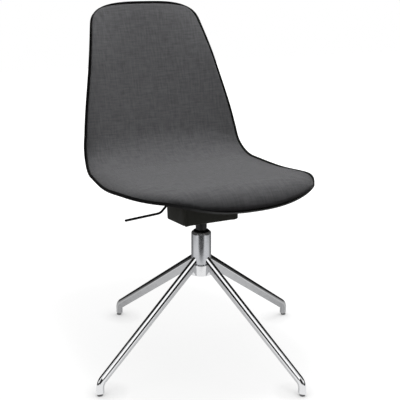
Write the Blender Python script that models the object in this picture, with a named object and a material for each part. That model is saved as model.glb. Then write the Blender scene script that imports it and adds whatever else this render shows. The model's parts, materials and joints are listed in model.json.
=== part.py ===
"""Conference chair: an upholstered one-piece shell on a swivel column and a four-legged base.

Metres, +Z up. The sitter faces -Y and the sitter's right hand is at -X.
The origin is on the floor, under the middle of the chair's bounding box.
"""
import math

import bmesh
import bpy
from mathutils import Matrix, Vector

# Gaps between pieces that touch or slide on the real chair
SEAT_GAP = 0.0003
RUNNING_GAP = 0.0003

# Four-legged base
LEG_COUNT = 4
BASE_TURN = math.radians(18.5)
FOOT_CIRCLE_RADIUS = 0.334
LEG_RISE = 0.018
LEG_TOP_WIDTH = 0.0135
LEG_KEEL_WIDTH = 0.0045
LEG_EDGE_BEVEL = 0.0042
LEG_CHEEK_HEIGHT = 0.009
LEG_ROOT_DEPTH = 0.030
LEG_BEND_DEPTH = 0.0245
FOOT_DEPTH = 0.019
FOOT_KEEL_WIDTH = 0.012
FOOT_BEND_RADIUS = 0.034
FOOT_STRAIGHT_HEIGHT = 0.0145
HUB_WALL = 0.004
HUB_HEIGHT = 0.029
GLIDE_RADIUS = 0.0065
GLIDE_HEIGHT = 0.005
GLIDE_STEM_RADIUS = 0.0035
GLIDE_STEM_LENGTH = 0.014
GLIDE_EDGE_BEVEL = 0.001

# Column and the gas spring inside it
COLUMN_BOTTOM = 0.216
COLUMN_HEIGHT = 0.1145
COLUMN_WALL = 0.0018
COLUMN_TAPER = 0.0008
COLUMN_LIP_RADIUS = 0.004
COLUMN_FLOOR_RECESS = 0.0055
COLUMN_FLOOR_THICKNESS = 0.003
BUSH_LENGTH = 0.070
BUSH_COLLAR_HEIGHT = 0.0008
BUSH_COLLAR_WALL = 0.0064
TUBE_RADIUS = 0.014
TUBE_WALL = 0.0025
TUBE_TAPER_HEIGHT = 0.046
TUBE_TAPER = 0.0007
TUBE_CAP = 0.005
TUBE_SHOWN = 0.0305
STROKE = 0.055
ROD_RADIUS = 0.005
ROD_STEP = 0.001
ROD_STUB_REACH = 0.0035
CLIP_RADIUS = 0.0075
CLIP_THICKNESS = 0.0012
CLIP_GROOVE_DEPTH = 0.0008
WASHER_RADIUS = 0.013
WASHER_THICKNESS = 0.0025
CAGE_THICKNESS = 0.005
CAGE_RADIUS = 0.0125
BUFFER_RADIUS = 0.012
BUFFER_HEIGHT = 0.008
SEAL_LENGTH = 0.020
PISTON_HEIGHT = 0.012
PISTON_TRAVEL_MARGIN = 0.003
ROD_TIP_LENGTH = 0.002
VALVE_BODY_LENGTH = 0.022
VALVE_PIN_RADIUS = 0.0037
VALVE_FLANGE_RADIUS = 0.006
VALVE_FLANGE_HEIGHT = 0.004
VALVE_PIN_PROUD = 0.0065
VALVE_PIN_TAIL = 0.012

# Seat plate, taper socket and black cover under the seat
SEAT_TILT = math.radians(4.3)
COVER_WIDTH = 0.150
COVER_DEPTH = 0.110
COVER_ROOM_CORNER = 0.0063
COVER_BOTTOM_DROP = 0.0990
COVER_SHELL_GAP = 0.0012
COVER_FLOOR = 0.003
COVER_WALL = 0.0027
COVER_LEDGE = 0.003
PLATE_THICKNESS = 0.003
SOCKET_WALL = 0.005
SOCKET_HEAD_CLEARANCE = 0.0015
SOCKET_SETBACK = 0.001
BOSS_SIDE_MARGIN = 0.0163
BOSS_END_MARGIN = 0.0063
BOSS_LENGTH = 0.0197
BOSS_WALL = 0.0057
BOSS_ROOT = 0.002
INSERT_WALL = 0.0017
INSERT_HEADROOM = 0.0054
SCREW_RADIUS = 0.003
SCREW_ENGAGEMENT = 0.0084
SCREW_HEAD_RADIUS = 0.006
SCREW_HEAD_HEIGHT = 0.004

# Height lever
LEVER_RADIUS = 0.003
LEVER_SOCKET_GAP = 0.005
LEVER_PLATE_GAP = 0.003
LEVER_FINGER_PAST = 0.006
LEVER_TRAVEL = math.radians(5.0)
LEVER_SHOULDER_REACH = 0.002
LEVER_SHOULDER_DROP = 0.0005
LEVER_BEND_REACH = 0.0365
LEVER_BEND_DROP = 0.0345
LEVER_END_REACH = 0.1295
LEVER_END_DROP = 0.0412
LEVER_EYE_WALL = 0.0027
LEVER_EYE_LENGTH = 0.009
LEVER_PIN_RADIUS = 0.0025
LEVER_BEND_ROUND = 0.008
EAR_THICKNESS = 0.003
EAR_WIDTH = 0.012
EAR_CHIN = 0.0032
SLOT_MARGIN = 0.0015

# Seat shell, along its middle line from the front edge to the top of the back
LIP_RADIUS = 0.073
LIP_ANGLE = math.radians(50.0)
SEAT_FRONT_LENGTH = 0.208
SEAT_REAR_LENGTH = 0.162
HIP_RADIUS = 0.102
BACK_ANGLE = math.radians(75.5)
BACK_LENGTH = 0.3600
BACK_TURN = math.radians(2.0)
SHELL_WALL = 0.005
# Half width over the column, and how much narrower each side is at the other stations of the middle line
HALF_WIDTH_SEAT = 0.2447
LIP_NARROWING = 0.0322
FRONT_NARROWING = 0.0042
SEAT_REAR_NARROWING = 0.0102
HIP_NARROWING = 0.0190
LUMBAR_NARROWING = 0.0266
BACK_NARROWING = 0.0597
TOP_NARROWING = 0.0980
# How far the side edges rise above the middle line at the same stations
EDGE_RISE_LIP = -0.0020
EDGE_RISE_FRONT = 0.0030
EDGE_RISE_SEAT = 0.0022
EDGE_RISE_SEAT_REAR = 0.0190
EDGE_RISE_HIP = 0.0345
EDGE_RISE_LUMBAR = 0.0450
EDGE_RISE_BACK = 0.0415
EDGE_RISE_TOP = 0.0
FRONT_CORNER_LENGTH = 0.144
FRONT_CORNER_POWER = 2.4
TOP_CORNER_LENGTH = 0.060
TOP_CORNER_POWER = 3.0
# How far the rim stands up round the pad
RIM_RISE = 0.003

# Foam pad and its fabric cover
PAD_RIM_INSET = 0.0055
PAD_EDGE = 0.001
PAD_CROWN = 0.008
# How far in and how high the foam rolls over its edge; the front lip is padded more than the rest
ROLL_RADIUS_LIP = 0.040
ROLL_RADIUS_SEAT = 0.022
ROLL_RADIUS_SEAT_REAR = 0.020
ROLL_RADIUS_HIP = 0.020
ROLL_RADIUS_LUMBAR = 0.018
ROLL_RADIUS_BACK = 0.016
ROLL_HEIGHT_LIP = 0.015
ROLL_HEIGHT_SEAT = 0.005
ROLL_HEIGHT_SEAT_REAR = 0.004
ROLL_HEIGHT_HIP = 0.004
ROLL_HEIGHT_LUMBAR = 0.004
ROLL_HEIGHT_BACK = 0.004
FABRIC_THICKNESS = 0.0012

# Facets
ROUND_STEPS = 24
SMALL_ROUND_STEPS = 16
CORNER_STEPS = 4
FOOT_BEND_STEPS = 5
LEVER_BEND_STEPS = 3
LEVER_SIDES = 8
SHARP_ANGLE = math.radians(35.0)
ACROSS_CELLS = 16
ALONG_CELLS = 32
EDGE_CELL_SHARES = (0.0, 0.3, 1.0, 2.2)
ROW_TURN_LENGTH = 0.25
PROBE_STEP = 0.0005
SOLVER_ROUNDS = 40

# Sizes that follow from the ones above; heights are above the floor
COLUMN_RADIUS = TUBE_RADIUS + RUNNING_GAP + BUSH_COLLAR_WALL + SEAT_GAP + COLUMN_LIP_RADIUS
COLUMN_BORE = COLUMN_RADIUS - COLUMN_WALL
COLUMN_TOP = COLUMN_BOTTOM + COLUMN_HEIGHT
FLOOR_TOP = COLUMN_BOTTOM + COLUMN_FLOOR_RECESS + COLUMN_FLOOR_THICKNESS
HUB_RADIUS = COLUMN_RADIUS + HUB_WALL
HUB_TOP = COLUMN_BOTTOM + HUB_HEIGHT
LEG_TOP_HEIGHT = HUB_TOP + LEG_RISE
FOOT_FACE = FOOT_CIRCLE_RADIUS + FOOT_DEPTH / 2
FOOT_SOLE = GLIDE_HEIGHT + SEAT_GAP
FOOT_BEND_HEIGHT = FOOT_SOLE + FOOT_STRAIGHT_HEIGHT
SEAT_HEIGHT = COLUMN_TOP + TUBE_SHOWN + COVER_BOTTOM_DROP
COVER_CORNER = COVER_ROOM_CORNER + COVER_WALL + COVER_LEDGE
SOCKET_RADIUS = TUBE_RADIUS + SOCKET_WALL
ROD_STUB_RADIUS = ROD_RADIUS - ROD_STEP
LEVER_EYE_RADIUS = LEVER_PIN_RADIUS + RUNNING_GAP + LEVER_EYE_WALL
LEVER_ARM = SOCKET_RADIUS + LEVER_SOCKET_GAP + EAR_WIDTH / 2

# Heights in the deck's frame, which tilts with the seat and has the shell's upper face at zero
COVER_BOTTOM = -COVER_BOTTOM_DROP
PLATE_TOP = -SHELL_WALL - BOSS_LENGTH
PLATE_LOW = PLATE_TOP - PLATE_THICKNESS
FINGER_HEIGHT = PLATE_LOW - LEVER_PLATE_GAP - LEVER_EYE_RADIUS
FINGER_Y = -FINGER_HEIGHT * math.tan(SEAT_TILT)
TUBE_TOP = SEAT_HEIGHT + FINGER_HEIGHT / math.cos(SEAT_TILT) - LEVER_RADIUS - SEAT_GAP - VALVE_PIN_PROUD


def clear_scene():
    for old in list(bpy.data.objects):
        bpy.data.objects.remove(old, do_unlink=True)


def finish(name, colour, roughness, metallic=0.0):
    made = bpy.data.materials.new(name)
    made.use_nodes = True
    shader = made.node_tree.nodes["Principled BSDF"]
    shader.inputs["Base Color"].default_value = (*colour, 1.0)
    shader.inputs["Roughness"].default_value = roughness
    shader.inputs["Metallic"].default_value = metallic
    return made


def empty(name, parent, location=(0.0, 0.0, 0.0), tilt=0.0):
    made = bpy.data.objects.new(name, None)
    bpy.context.collection.objects.link(made)
    made.parent = parent
    made.location = location
    made.rotation_euler = (tilt, 0.0, 0.0)
    return made


def piece(name, bm, parent, look):
    """A finished mesh becomes a named object under its parent."""
    bmesh.ops.recalc_face_normals(bm, faces=bm.faces[:])
    mesh = bpy.data.meshes.new(name)
    bm.to_mesh(mesh)
    bm.free()
    mesh.shade_smooth()
    mesh.set_sharp_from_angle(angle=SHARP_ANGLE)
    mesh.materials.append(look)
    made = bpy.data.objects.new(name, mesh)
    bpy.context.collection.objects.link(made)
    made.parent = parent
    return made


def cutter(name, bm, parent):
    """A shape that is only there to cut or join others."""
    made = piece(name, bm, parent, bpy.data.materials["guide"])
    made.hide_render = True
    made.display_type = "WIRE"
    return made


def combine(target, tool, operation="DIFFERENCE"):
    step = target.modifiers.new(tool.name, "BOOLEAN")
    step.object = tool
    step.operation = operation


def turned(profile, steps=ROUND_STEPS):
    """Turn a closed outline of (radius, height) points about Z; one end pair may lie on the axis."""
    bm = bmesh.new()
    points = [bm.verts.new((radius, 0.0, height)) for radius, height in profile]
    edges = [bm.edges.new(pair) for pair in zip(points, points[1:])]
    on_axis = profile[0][0] == 0.0 and profile[-1][0] == 0.0
    if not on_axis:
        edges.append(bm.edges.new((points[-1], points[0])))
    bmesh.ops.spin(
        bm, geom=points + edges, axis=(0.0, 0.0, 1.0), cent=(0.0, 0.0, 0.0),
        angle=math.tau, steps=steps, use_merge=True,
    )
    bmesh.ops.remove_doubles(bm, verts=bm.verts[:], dist=1e-6)
    return bm


def ring(inner, outer, low, high, steps=ROUND_STEPS):
    return turned([(outer, high), (outer, low), (inner, low), (inner, high)], steps)


def disc(radius, low, high, steps=ROUND_STEPS):
    return turned([(0.0, high), (radius, high), (radius, low), (0.0, low)], steps)


def arc(centre, radius, start, end, steps):
    """Points of an arc, as (first, second) coordinates."""
    turn = (end - start) / steps
    return [
        (centre[0] + radius * math.cos(start + turn * i), centre[1] + radius * math.sin(start + turn * i))
        for i in range(steps + 1)
    ]


def rounded_rectangle(width, depth, corner):
    half_x = width / 2 - corner
    half_y = depth / 2 - corner
    centres = ((half_x, half_y), (-half_x, half_y), (-half_x, -half_y), (half_x, -half_y))
    outline = []
    for quarter, centre in enumerate(centres):
        start = quarter * math.pi / 2
        outline += arc(centre, corner, start, start + math.pi / 2, CORNER_STEPS)
    return outline


def prism(outline, low, high):
    """An outline in XY, extruded from one height to another."""
    bm = bmesh.new()
    base = bm.faces.new([bm.verts.new((x, y, low)) for x, y in outline])
    grown = bmesh.ops.extrude_face_region(bm, geom=[base])
    risen = [item for item in grown["geom"] if isinstance(item, bmesh.types.BMVert)]
    bmesh.ops.translate(bm, verts=risen, vec=(0.0, 0.0, high - low))
    return bm


def block(low, high):
    """A box between two corners."""
    bm = bmesh.new()
    size = Vector(high) - Vector(low)
    middle = (Vector(high) + Vector(low)) / 2
    bmesh.ops.create_cube(bm, size=1.0, matrix=Matrix.Translation(middle) @ Matrix.Diagonal((*size, 1.0)))
    return bm


def lofted(rings):
    """A closed body through rings of the same number of points, with a face on each end."""
    bm = bmesh.new()
    loops = [[bm.verts.new(point) for point in points] for points in rings]
    count = len(loops[0])
    for lower, upper in zip(loops, loops[1:]):
        for i in range(count):
            j = (i + 1) % count
            bm.faces.new((lower[i], lower[j], upper[j], upper[i]))
    bm.faces.new(loops[0])
    bm.faces.new(loops[-1])
    return bm


def eased(stations, values, at):
    """A smooth value between stations, without overshoot."""
    at = min(max(at, stations[0]), stations[-1])
    slopes = [(b - a) / (t - s) for a, b, s, t in zip(values, values[1:], stations, stations[1:])]
    knots = [slopes[0]]
    for before, after in zip(slopes, slopes[1:]):
        rising = before * after > 0.0
        knots.append(2 * before * after / (before + after) if rising else 0.0)
    knots.append(slopes[-1])
    i = 0
    while i < len(slopes) - 1 and at > stations[i + 1]:
        i += 1
    span = stations[i + 1] - stations[i]
    t = (at - stations[i]) / span
    return (
        values[i] * (1 + 2 * t) * (1 - t) ** 2 + span * knots[i] * t * (1 - t) ** 2
        + values[i + 1] * t * t * (3 - 2 * t) + span * knots[i + 1] * t * t * (t - 1)
    )


# The shell's middle line: front lip, straight seat, hip and back
LIP_LENGTH = LIP_RADIUS * (LIP_ANGLE + SEAT_TILT)
SEAT_LENGTH = SEAT_FRONT_LENGTH + SEAT_REAR_LENGTH
HIP_LENGTH = HIP_RADIUS * (BACK_ANGLE + SEAT_TILT)
AXIS_STATION = LIP_LENGTH + SEAT_FRONT_LENGTH
HIP_STATION = LIP_LENGTH + SEAT_LENGTH
BACK_STATION = HIP_STATION + HIP_LENGTH
TOP_STATION = BACK_STATION + BACK_LENGTH
RUNS = (
    (LIP_LENGTH, -1.0 / LIP_RADIUS),
    (SEAT_LENGTH, 0.0),
    (HIP_LENGTH, 1.0 / HIP_RADIUS),
    (BACK_LENGTH, BACK_TURN / BACK_LENGTH),
)
STATIONS = (
    0.0, LIP_LENGTH, LIP_LENGTH + SEAT_FRONT_LENGTH / 2, AXIS_STATION,
    HIP_STATION, HIP_STATION + HIP_LENGTH / 2, BACK_STATION, BACK_STATION + BACK_LENGTH / 2, TOP_STATION,
)
NARROWINGS = (
    LIP_NARROWING, LIP_NARROWING, FRONT_NARROWING, 0.0,
    SEAT_REAR_NARROWING, HIP_NARROWING, LUMBAR_NARROWING, BACK_NARROWING, TOP_NARROWING,
)
HALF_WIDTHS = tuple(HALF_WIDTH_SEAT - narrowing for narrowing in NARROWINGS)
EDGE_RISES = (
    EDGE_RISE_LIP, EDGE_RISE_LIP, EDGE_RISE_FRONT, EDGE_RISE_SEAT,
    EDGE_RISE_SEAT_REAR, EDGE_RISE_HIP, EDGE_RISE_LUMBAR, EDGE_RISE_BACK, EDGE_RISE_TOP,
)
ROLL_RADII = (
    ROLL_RADIUS_LIP, ROLL_RADIUS_LIP, ROLL_RADIUS_SEAT, ROLL_RADIUS_SEAT,
    ROLL_RADIUS_SEAT_REAR, ROLL_RADIUS_HIP, ROLL_RADIUS_LUMBAR, ROLL_RADIUS_BACK, ROLL_RADIUS_BACK,
)
ROLL_HEIGHTS = (
    ROLL_HEIGHT_LIP, ROLL_HEIGHT_LIP, ROLL_HEIGHT_SEAT, ROLL_HEIGHT_SEAT,
    ROLL_HEIGHT_SEAT_REAR, ROLL_HEIGHT_HIP, ROLL_HEIGHT_LUMBAR, ROLL_HEIGHT_BACK, ROLL_HEIGHT_BACK,
)
EDGE_CELLS = tuple(PAD_RIM_INSET + ROLL_RADIUS_BACK * share for share in EDGE_CELL_SHARES)


def along_runs(station):
    """Place and heading on the middle line, with the front edge at zero."""
    y = z = 0.0
    heading = LIP_ANGLE
    left = station
    for number, (length, bend) in enumerate(RUNS, start=1):
        step = left if number == len(RUNS) else min(left, length)
        if bend == 0.0:
            y += step * math.cos(heading)
            z += step * math.sin(heading)
        else:
            turned_to = heading + step * bend
            y += (math.sin(turned_to) - math.sin(heading)) / bend
            z -= (math.cos(turned_to) - math.cos(heading)) / bend
            heading = turned_to
        left -= step
    return y, z, heading


AXIS_Y, AXIS_Z, AXIS_HEADING = along_runs(AXIS_STATION)


def shell_point(x, station):
    """A point of the shell's upper face, from its distance across and along."""
    y, z, heading = along_runs(station)
    rise = eased(STATIONS, EDGE_RISES, station) * (x / eased(STATIONS, HALF_WIDTHS, station)) ** 2
    return Vector((
        x,
        y - AXIS_Y - math.sin(heading) * rise,
        z - AXIS_Z + SEAT_HEIGHT + math.cos(heading) * rise,
    ))


def shell_normal(x, station):
    across = shell_point(x + PROBE_STEP, station) - shell_point(x - PROBE_STEP, station)
    along = shell_point(x, station + PROBE_STEP) - shell_point(x, station - PROBE_STEP)
    return across.cross(along).normalized()


def corner_share(power):
    """How far out the middle of a rounded corner lies, as a share of its sides."""
    return 0.5 ** (1.0 / power)


FRONT_SHARE = corner_share(FRONT_CORNER_POWER)
TOP_SHARE = corner_share(TOP_CORNER_POWER)
FRONT_CORNER = FRONT_CORNER_LENGTH * (1 - FRONT_SHARE)
TOP_CORNER = TOP_STATION - TOP_CORNER_LENGTH * (1 - TOP_SHARE)


def rounded(distance, length, power):
    """Share of the full width at a distance from an end whose corners are rounded."""
    short = max(0.0, 1.0 - distance / length)
    return (1.0 - short ** power) ** (1.0 / power)


def half_width(station):
    width = eased(STATIONS, HALF_WIDTHS, station)
    width *= rounded(station, FRONT_CORNER_LENGTH, FRONT_CORNER_POWER)
    return width * rounded(TOP_STATION - station, TOP_CORNER_LENGTH, TOP_CORNER_POWER)


def turn_measure(station):
    """Length plus turning, so that rows crowd where the shell bends."""
    measure = 0.0
    left = station
    for length, bend in RUNS:
        step = min(left, length)
        measure += step * (1.0 + ROW_TURN_LENGTH * abs(bend))
        left -= step
    return measure


def station_at(measure):
    low, high = 0.0, TOP_STATION
    for _ in range(SOLVER_ROUNDS):
        middle = (low + high) / 2
        if turn_measure(middle) < measure:
            low = middle
        else:
            high = middle
    return (low + high) / 2


def row_stations():
    """Stations of the side edges' rows, with narrow rows at both ends."""
    first = FRONT_CORNER + EDGE_CELLS[-1]
    last = TOP_CORNER - EDGE_CELLS[-1]
    inner = ALONG_CELLS - 2 * len(EDGE_CELLS)
    low = turn_measure(first)
    step = (turn_measure(last) - low) / inner
    front = [FRONT_CORNER] + [FRONT_CORNER + cell for cell in EDGE_CELLS[:-1]]
    middle = [station_at(low + step * i) for i in range(inner + 1)]
    back = [TOP_CORNER - cell for cell in reversed(EDGE_CELLS[:-1])] + [TOP_CORNER]
    return front + middle + back


def column_shares():
    """Shares of the half width across the shell, with narrow columns at both sides."""
    edges = [1.0] + [1.0 - cell / HALF_WIDTH_SEAT for cell in EDGE_CELLS]
    inner = ACROSS_CELLS // 2 - len(EDGE_CELLS)
    half = edges + [edges[-1] * (1 - i / inner) for i in range(1, inner)]
    return [-share for share in half] + [0.0] + list(reversed(half))


ROWS = row_stations()
COLUMNS = column_shares()


def end_bulge(share, length, power):
    """How far a rounded end reaches past its corners, at a share of their distance from the middle."""
    middle = corner_share(power)
    across = abs(share) * middle
    return length * ((1.0 - across ** power) ** (1.0 / power) - middle)


def sheet_place(row, column):
    """Distance across and along of a grid point."""
    station = ROWS[row]
    share = COLUMNS[column]
    blend = (station - FRONT_CORNER) / (TOP_CORNER - FRONT_CORNER)
    front = end_bulge(share, FRONT_CORNER_LENGTH, FRONT_CORNER_POWER)
    top = end_bulge(share, TOP_CORNER_LENGTH, TOP_CORNER_POWER)
    return share * half_width(station), station - (1 - blend) * front + blend * top


def rim_rise(row, column):
    """Height of the shell's upper face at a grid point: only its outermost points stand up, as a rim."""
    at_rim = row in (0, len(ROWS) - 1) or column in (0, len(COLUMNS) - 1)
    return RIM_RISE if at_rim else 0.0


def pad_thickness(row, column):
    """Foam thickness at a grid point: thin at the rim, rolled over the edge, crowned in the middle."""
    station = ROWS[row]
    share = abs(COLUMNS[column])
    side = max(0.0, (1.0 - share) * HALF_WIDTH_SEAT - PAD_RIM_INSET)
    end = max(0.0, min(station - FRONT_CORNER, TOP_CORNER - station) - PAD_RIM_INSET)
    inside = side * end / max(math.hypot(side, end), SEAT_GAP)
    near = min(1.0, inside / eased(STATIONS, ROLL_RADII, station))
    roll = eased(STATIONS, ROLL_HEIGHTS, station) * math.sqrt(1.0 - (1.0 - near) ** 2)
    length = abs(2.0 * station / TOP_STATION - 1.0)
    crown = (1.0 - share ** 2) * (1.0 - length ** 4)
    return PAD_EDGE + roll + PAD_CROWN * crown


def sheet_body(trim, back_offset, front_offset):
    """A closed body between two offsets of the shell's upper face, less some rows of cells at the rim."""
    bm = bmesh.new()
    row_of = bm.verts.layers.int.new("row")
    column_of = bm.verts.layers.int.new("column")
    across = ACROSS_CELLS - 2 * trim
    along = ALONG_CELLS - 2 * trim
    bmesh.ops.create_grid(bm, x_segments=across, y_segments=along, size=1.0)
    for vert in bm.verts:
        vert[column_of] = trim + round((vert.co.x + 1.0) / 2 * across)
        vert[row_of] = trim + round((vert.co.y + 1.0) / 2 * along)
    back = list(bm.verts)
    grown = bmesh.ops.extrude_face_region(bm, geom=bm.faces[:])
    front = [item for item in grown["geom"] if isinstance(item, bmesh.types.BMVert)]
    for verts, offset in ((back, back_offset), (front, front_offset)):
        for vert in verts:
            row, column = vert[row_of], vert[column_of]
            place = sheet_place(row, column)
            vert.co = shell_point(*place) + shell_normal(*place) * offset(row, column)
    return bm


def leg_section(outward, upward, origin, depth, keel):
    """One cross section of a leg: a bevelled top that narrows to a keel."""
    half = LEG_TOP_WIDTH / 2
    flat = half - LEG_EDGE_BEVEL
    outline = (
        (-flat, 0.0), (flat, 0.0), (half, -LEG_EDGE_BEVEL), (half, -LEG_CHEEK_HEIGHT),
        (keel / 2, -depth), (-keel / 2, -depth), (-half, -LEG_CHEEK_HEIGHT), (-half, -LEG_EDGE_BEVEL),
    )
    return [Vector((origin[0] + up * outward, side, origin[1] + up * upward)) for side, up in outline]


def leg_slope():
    """Downward angle of the leg's top line, from the column to where the foot's bend begins."""
    slope = 0.0
    for _ in range(SOLVER_ROUNDS):
        reach = FOOT_FACE - FOOT_BEND_RADIUS * (1 - math.sin(slope)) - COLUMN_RADIUS
        drop = LEG_TOP_HEIGHT - FOOT_BEND_HEIGHT - FOOT_BEND_RADIUS * math.cos(slope)
        slope = math.atan2(drop, reach)
    return slope


def leg_body():
    """A leg that runs out along +X from the column to its foot."""
    slope = leg_slope()
    inner = COLUMN_RADIUS / 2
    root = (inner, LEG_TOP_HEIGHT + (COLUMN_RADIUS - inner) * math.tan(slope))
    rings = [leg_section(math.sin(slope), math.cos(slope), root, LEG_ROOT_DEPTH, LEG_KEEL_WIDTH)]
    centre = (FOOT_FACE - FOOT_BEND_RADIUS, FOOT_BEND_HEIGHT)
    for i in range(FOOT_BEND_STEPS + 1):
        share = i / FOOT_BEND_STEPS
        angle = (math.pi / 2 - slope) * (1 - share)
        depth = LEG_BEND_DEPTH + (FOOT_DEPTH - LEG_BEND_DEPTH) * share
        keel = LEG_KEEL_WIDTH + (FOOT_KEEL_WIDTH - LEG_KEEL_WIDTH) * share
        point = (
            centre[0] + FOOT_BEND_RADIUS * math.cos(angle),
            centre[1] + FOOT_BEND_RADIUS * math.sin(angle),
        )
        rings.append(leg_section(math.cos(angle), math.sin(angle), point, depth, keel))
    rings.append(leg_section(1.0, 0.0, (FOOT_FACE, FOOT_SOLE), FOOT_DEPTH, FOOT_KEEL_WIDTH))
    return lofted(rings)


def build_base(frame, looks):
    """Hub, legs, glides and the column that stands in the hub."""
    base = empty("base_turn", frame)
    base.rotation_euler = (0.0, 0.0, BASE_TURN)
    foot_radius = COLUMN_RADIUS - COLUMN_TAPER
    hub = turned([
        (HUB_RADIUS, HUB_TOP), (HUB_RADIUS, COLUMN_BOTTOM),
        (foot_radius + SEAT_GAP, COLUMN_BOTTOM), (COLUMN_RADIUS + SEAT_GAP, HUB_TOP),
    ])
    piece("base_hub", hub, base, looks["aluminium"])

    cut_top = LEG_TOP_HEIGHT + COLUMN_RADIUS
    cut_low = COLUMN_BOTTOM - HUB_HEIGHT
    root_cut = cutter("leg_root_cutter", turned([
        (0.0, cut_top), (COLUMN_RADIUS + SEAT_GAP, cut_top),
        (COLUMN_RADIUS + SEAT_GAP, HUB_TOP + SEAT_GAP), (HUB_RADIUS + SEAT_GAP, HUB_TOP + SEAT_GAP),
        (HUB_RADIUS + SEAT_GAP, cut_low), (0.0, cut_low),
    ]), base)
    socket_radius = GLIDE_STEM_RADIUS + SEAT_GAP
    socket_top = FOOT_SOLE + GLIDE_STEM_LENGTH
    stem_top = socket_top - SEAT_GAP
    for number in range(LEG_COUNT):
        spoke = empty(f"leg_direction_{number + 1}", base)
        spoke.rotation_euler = (0.0, 0.0, math.tau * number / LEG_COUNT)
        leg = piece(f"leg_{number + 1}", leg_body(), spoke, looks["aluminium"])
        combine(leg, root_cut)
        foot = empty(f"foot_{number + 1}", spoke, (FOOT_CIRCLE_RADIUS, 0.0, 0.0))
        combine(leg, cutter(f"glide_socket_cutter_{number + 1}", disc(
            socket_radius, FOOT_SOLE - GLIDE_HEIGHT / 2, socket_top, SMALL_ROUND_STEPS), foot))
        glide = turned([
            (0.0, stem_top), (GLIDE_STEM_RADIUS, stem_top),
            (GLIDE_STEM_RADIUS, GLIDE_HEIGHT), (GLIDE_RADIUS, GLIDE_HEIGHT),
            (GLIDE_RADIUS, GLIDE_EDGE_BEVEL), (GLIDE_RADIUS - GLIDE_EDGE_BEVEL, 0.0), (0.0, 0.0),
        ], SMALL_ROUND_STEPS)
        piece(f"glide_{number + 1}", glide, foot, looks["glide"])

    lip = arc(
        (COLUMN_RADIUS - COLUMN_LIP_RADIUS, COLUMN_TOP - COLUMN_LIP_RADIUS), COLUMN_LIP_RADIUS,
        math.pi / 2, 0.0, CORNER_STEPS)
    rod_hole = ROD_STUB_RADIUS + RUNNING_GAP
    foot_bore = foot_radius - COLUMN_WALL
    floor_low = FLOOR_TOP - COLUMN_FLOOR_THICKNESS
    tube = turned(lip + [
        (COLUMN_RADIUS, HUB_TOP), (foot_radius, COLUMN_BOTTOM), (foot_bore, COLUMN_BOTTOM),
        (foot_bore, floor_low), (rod_hole, floor_low), (rod_hole, FLOOR_TOP), (foot_bore, FLOOR_TOP),
        (COLUMN_BORE, HUB_TOP), (COLUMN_BORE, COLUMN_TOP - COLUMN_LIP_RADIUS),
        (COLUMN_RADIUS - COLUMN_LIP_RADIUS, COLUMN_TOP - COLUMN_WALL),
    ])
    piece("column_tube", tube, base, looks["chrome"])

    bush_top = COLUMN_TOP - COLUMN_LIP_RADIUS - SEAT_GAP
    bore = TUBE_RADIUS + RUNNING_GAP
    neck = COLUMN_RADIUS - COLUMN_LIP_RADIUS - SEAT_GAP
    bush = turned([
        (neck, COLUMN_TOP + BUSH_COLLAR_HEIGHT), (neck, bush_top), (COLUMN_BORE - SEAT_GAP, bush_top),
        (COLUMN_BORE - SEAT_GAP, COLUMN_TOP - BUSH_LENGTH), (bore, COLUMN_TOP - BUSH_LENGTH),
        (bore, COLUMN_TOP + BUSH_COLLAR_HEIGHT),
    ])
    piece("guide_bush", bush, base, looks["black_plastic"])
    washer_low = FLOOR_TOP + SEAT_GAP
    cage_low = washer_low + WASHER_THICKNESS + SEAT_GAP
    piece("lower_bearing_washer", ring(
        rod_hole, WASHER_RADIUS, washer_low, washer_low + WASHER_THICKNESS), base, looks["steel"])
    piece("bearing_ball_cage", ring(
        rod_hole, CAGE_RADIUS, cage_low, cage_low + CAGE_THICKNESS), base, looks["steel"])


UPPER_WASHER_LOW = FLOOR_TOP + WASHER_THICKNESS + CAGE_THICKNESS + 3 * SEAT_GAP
ROD_SHOULDER = UPPER_WASHER_LOW + WASHER_THICKNESS + SEAT_GAP
BUFFER_TOP = ROD_SHOULDER + BUFFER_HEIGHT
TUBE_BOTTOM = BUFFER_TOP + SEAT_GAP
TUBE_BORE = TUBE_RADIUS - TUBE_WALL
SEAL_TOP = TUBE_BOTTOM + SEAL_LENGTH
PISTON_LOW = SEAL_TOP + STROKE + PISTON_TRAVEL_MARGIN
ROD_TOP = PISTON_LOW + PISTON_HEIGHT + ROD_TIP_LENGTH


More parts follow.
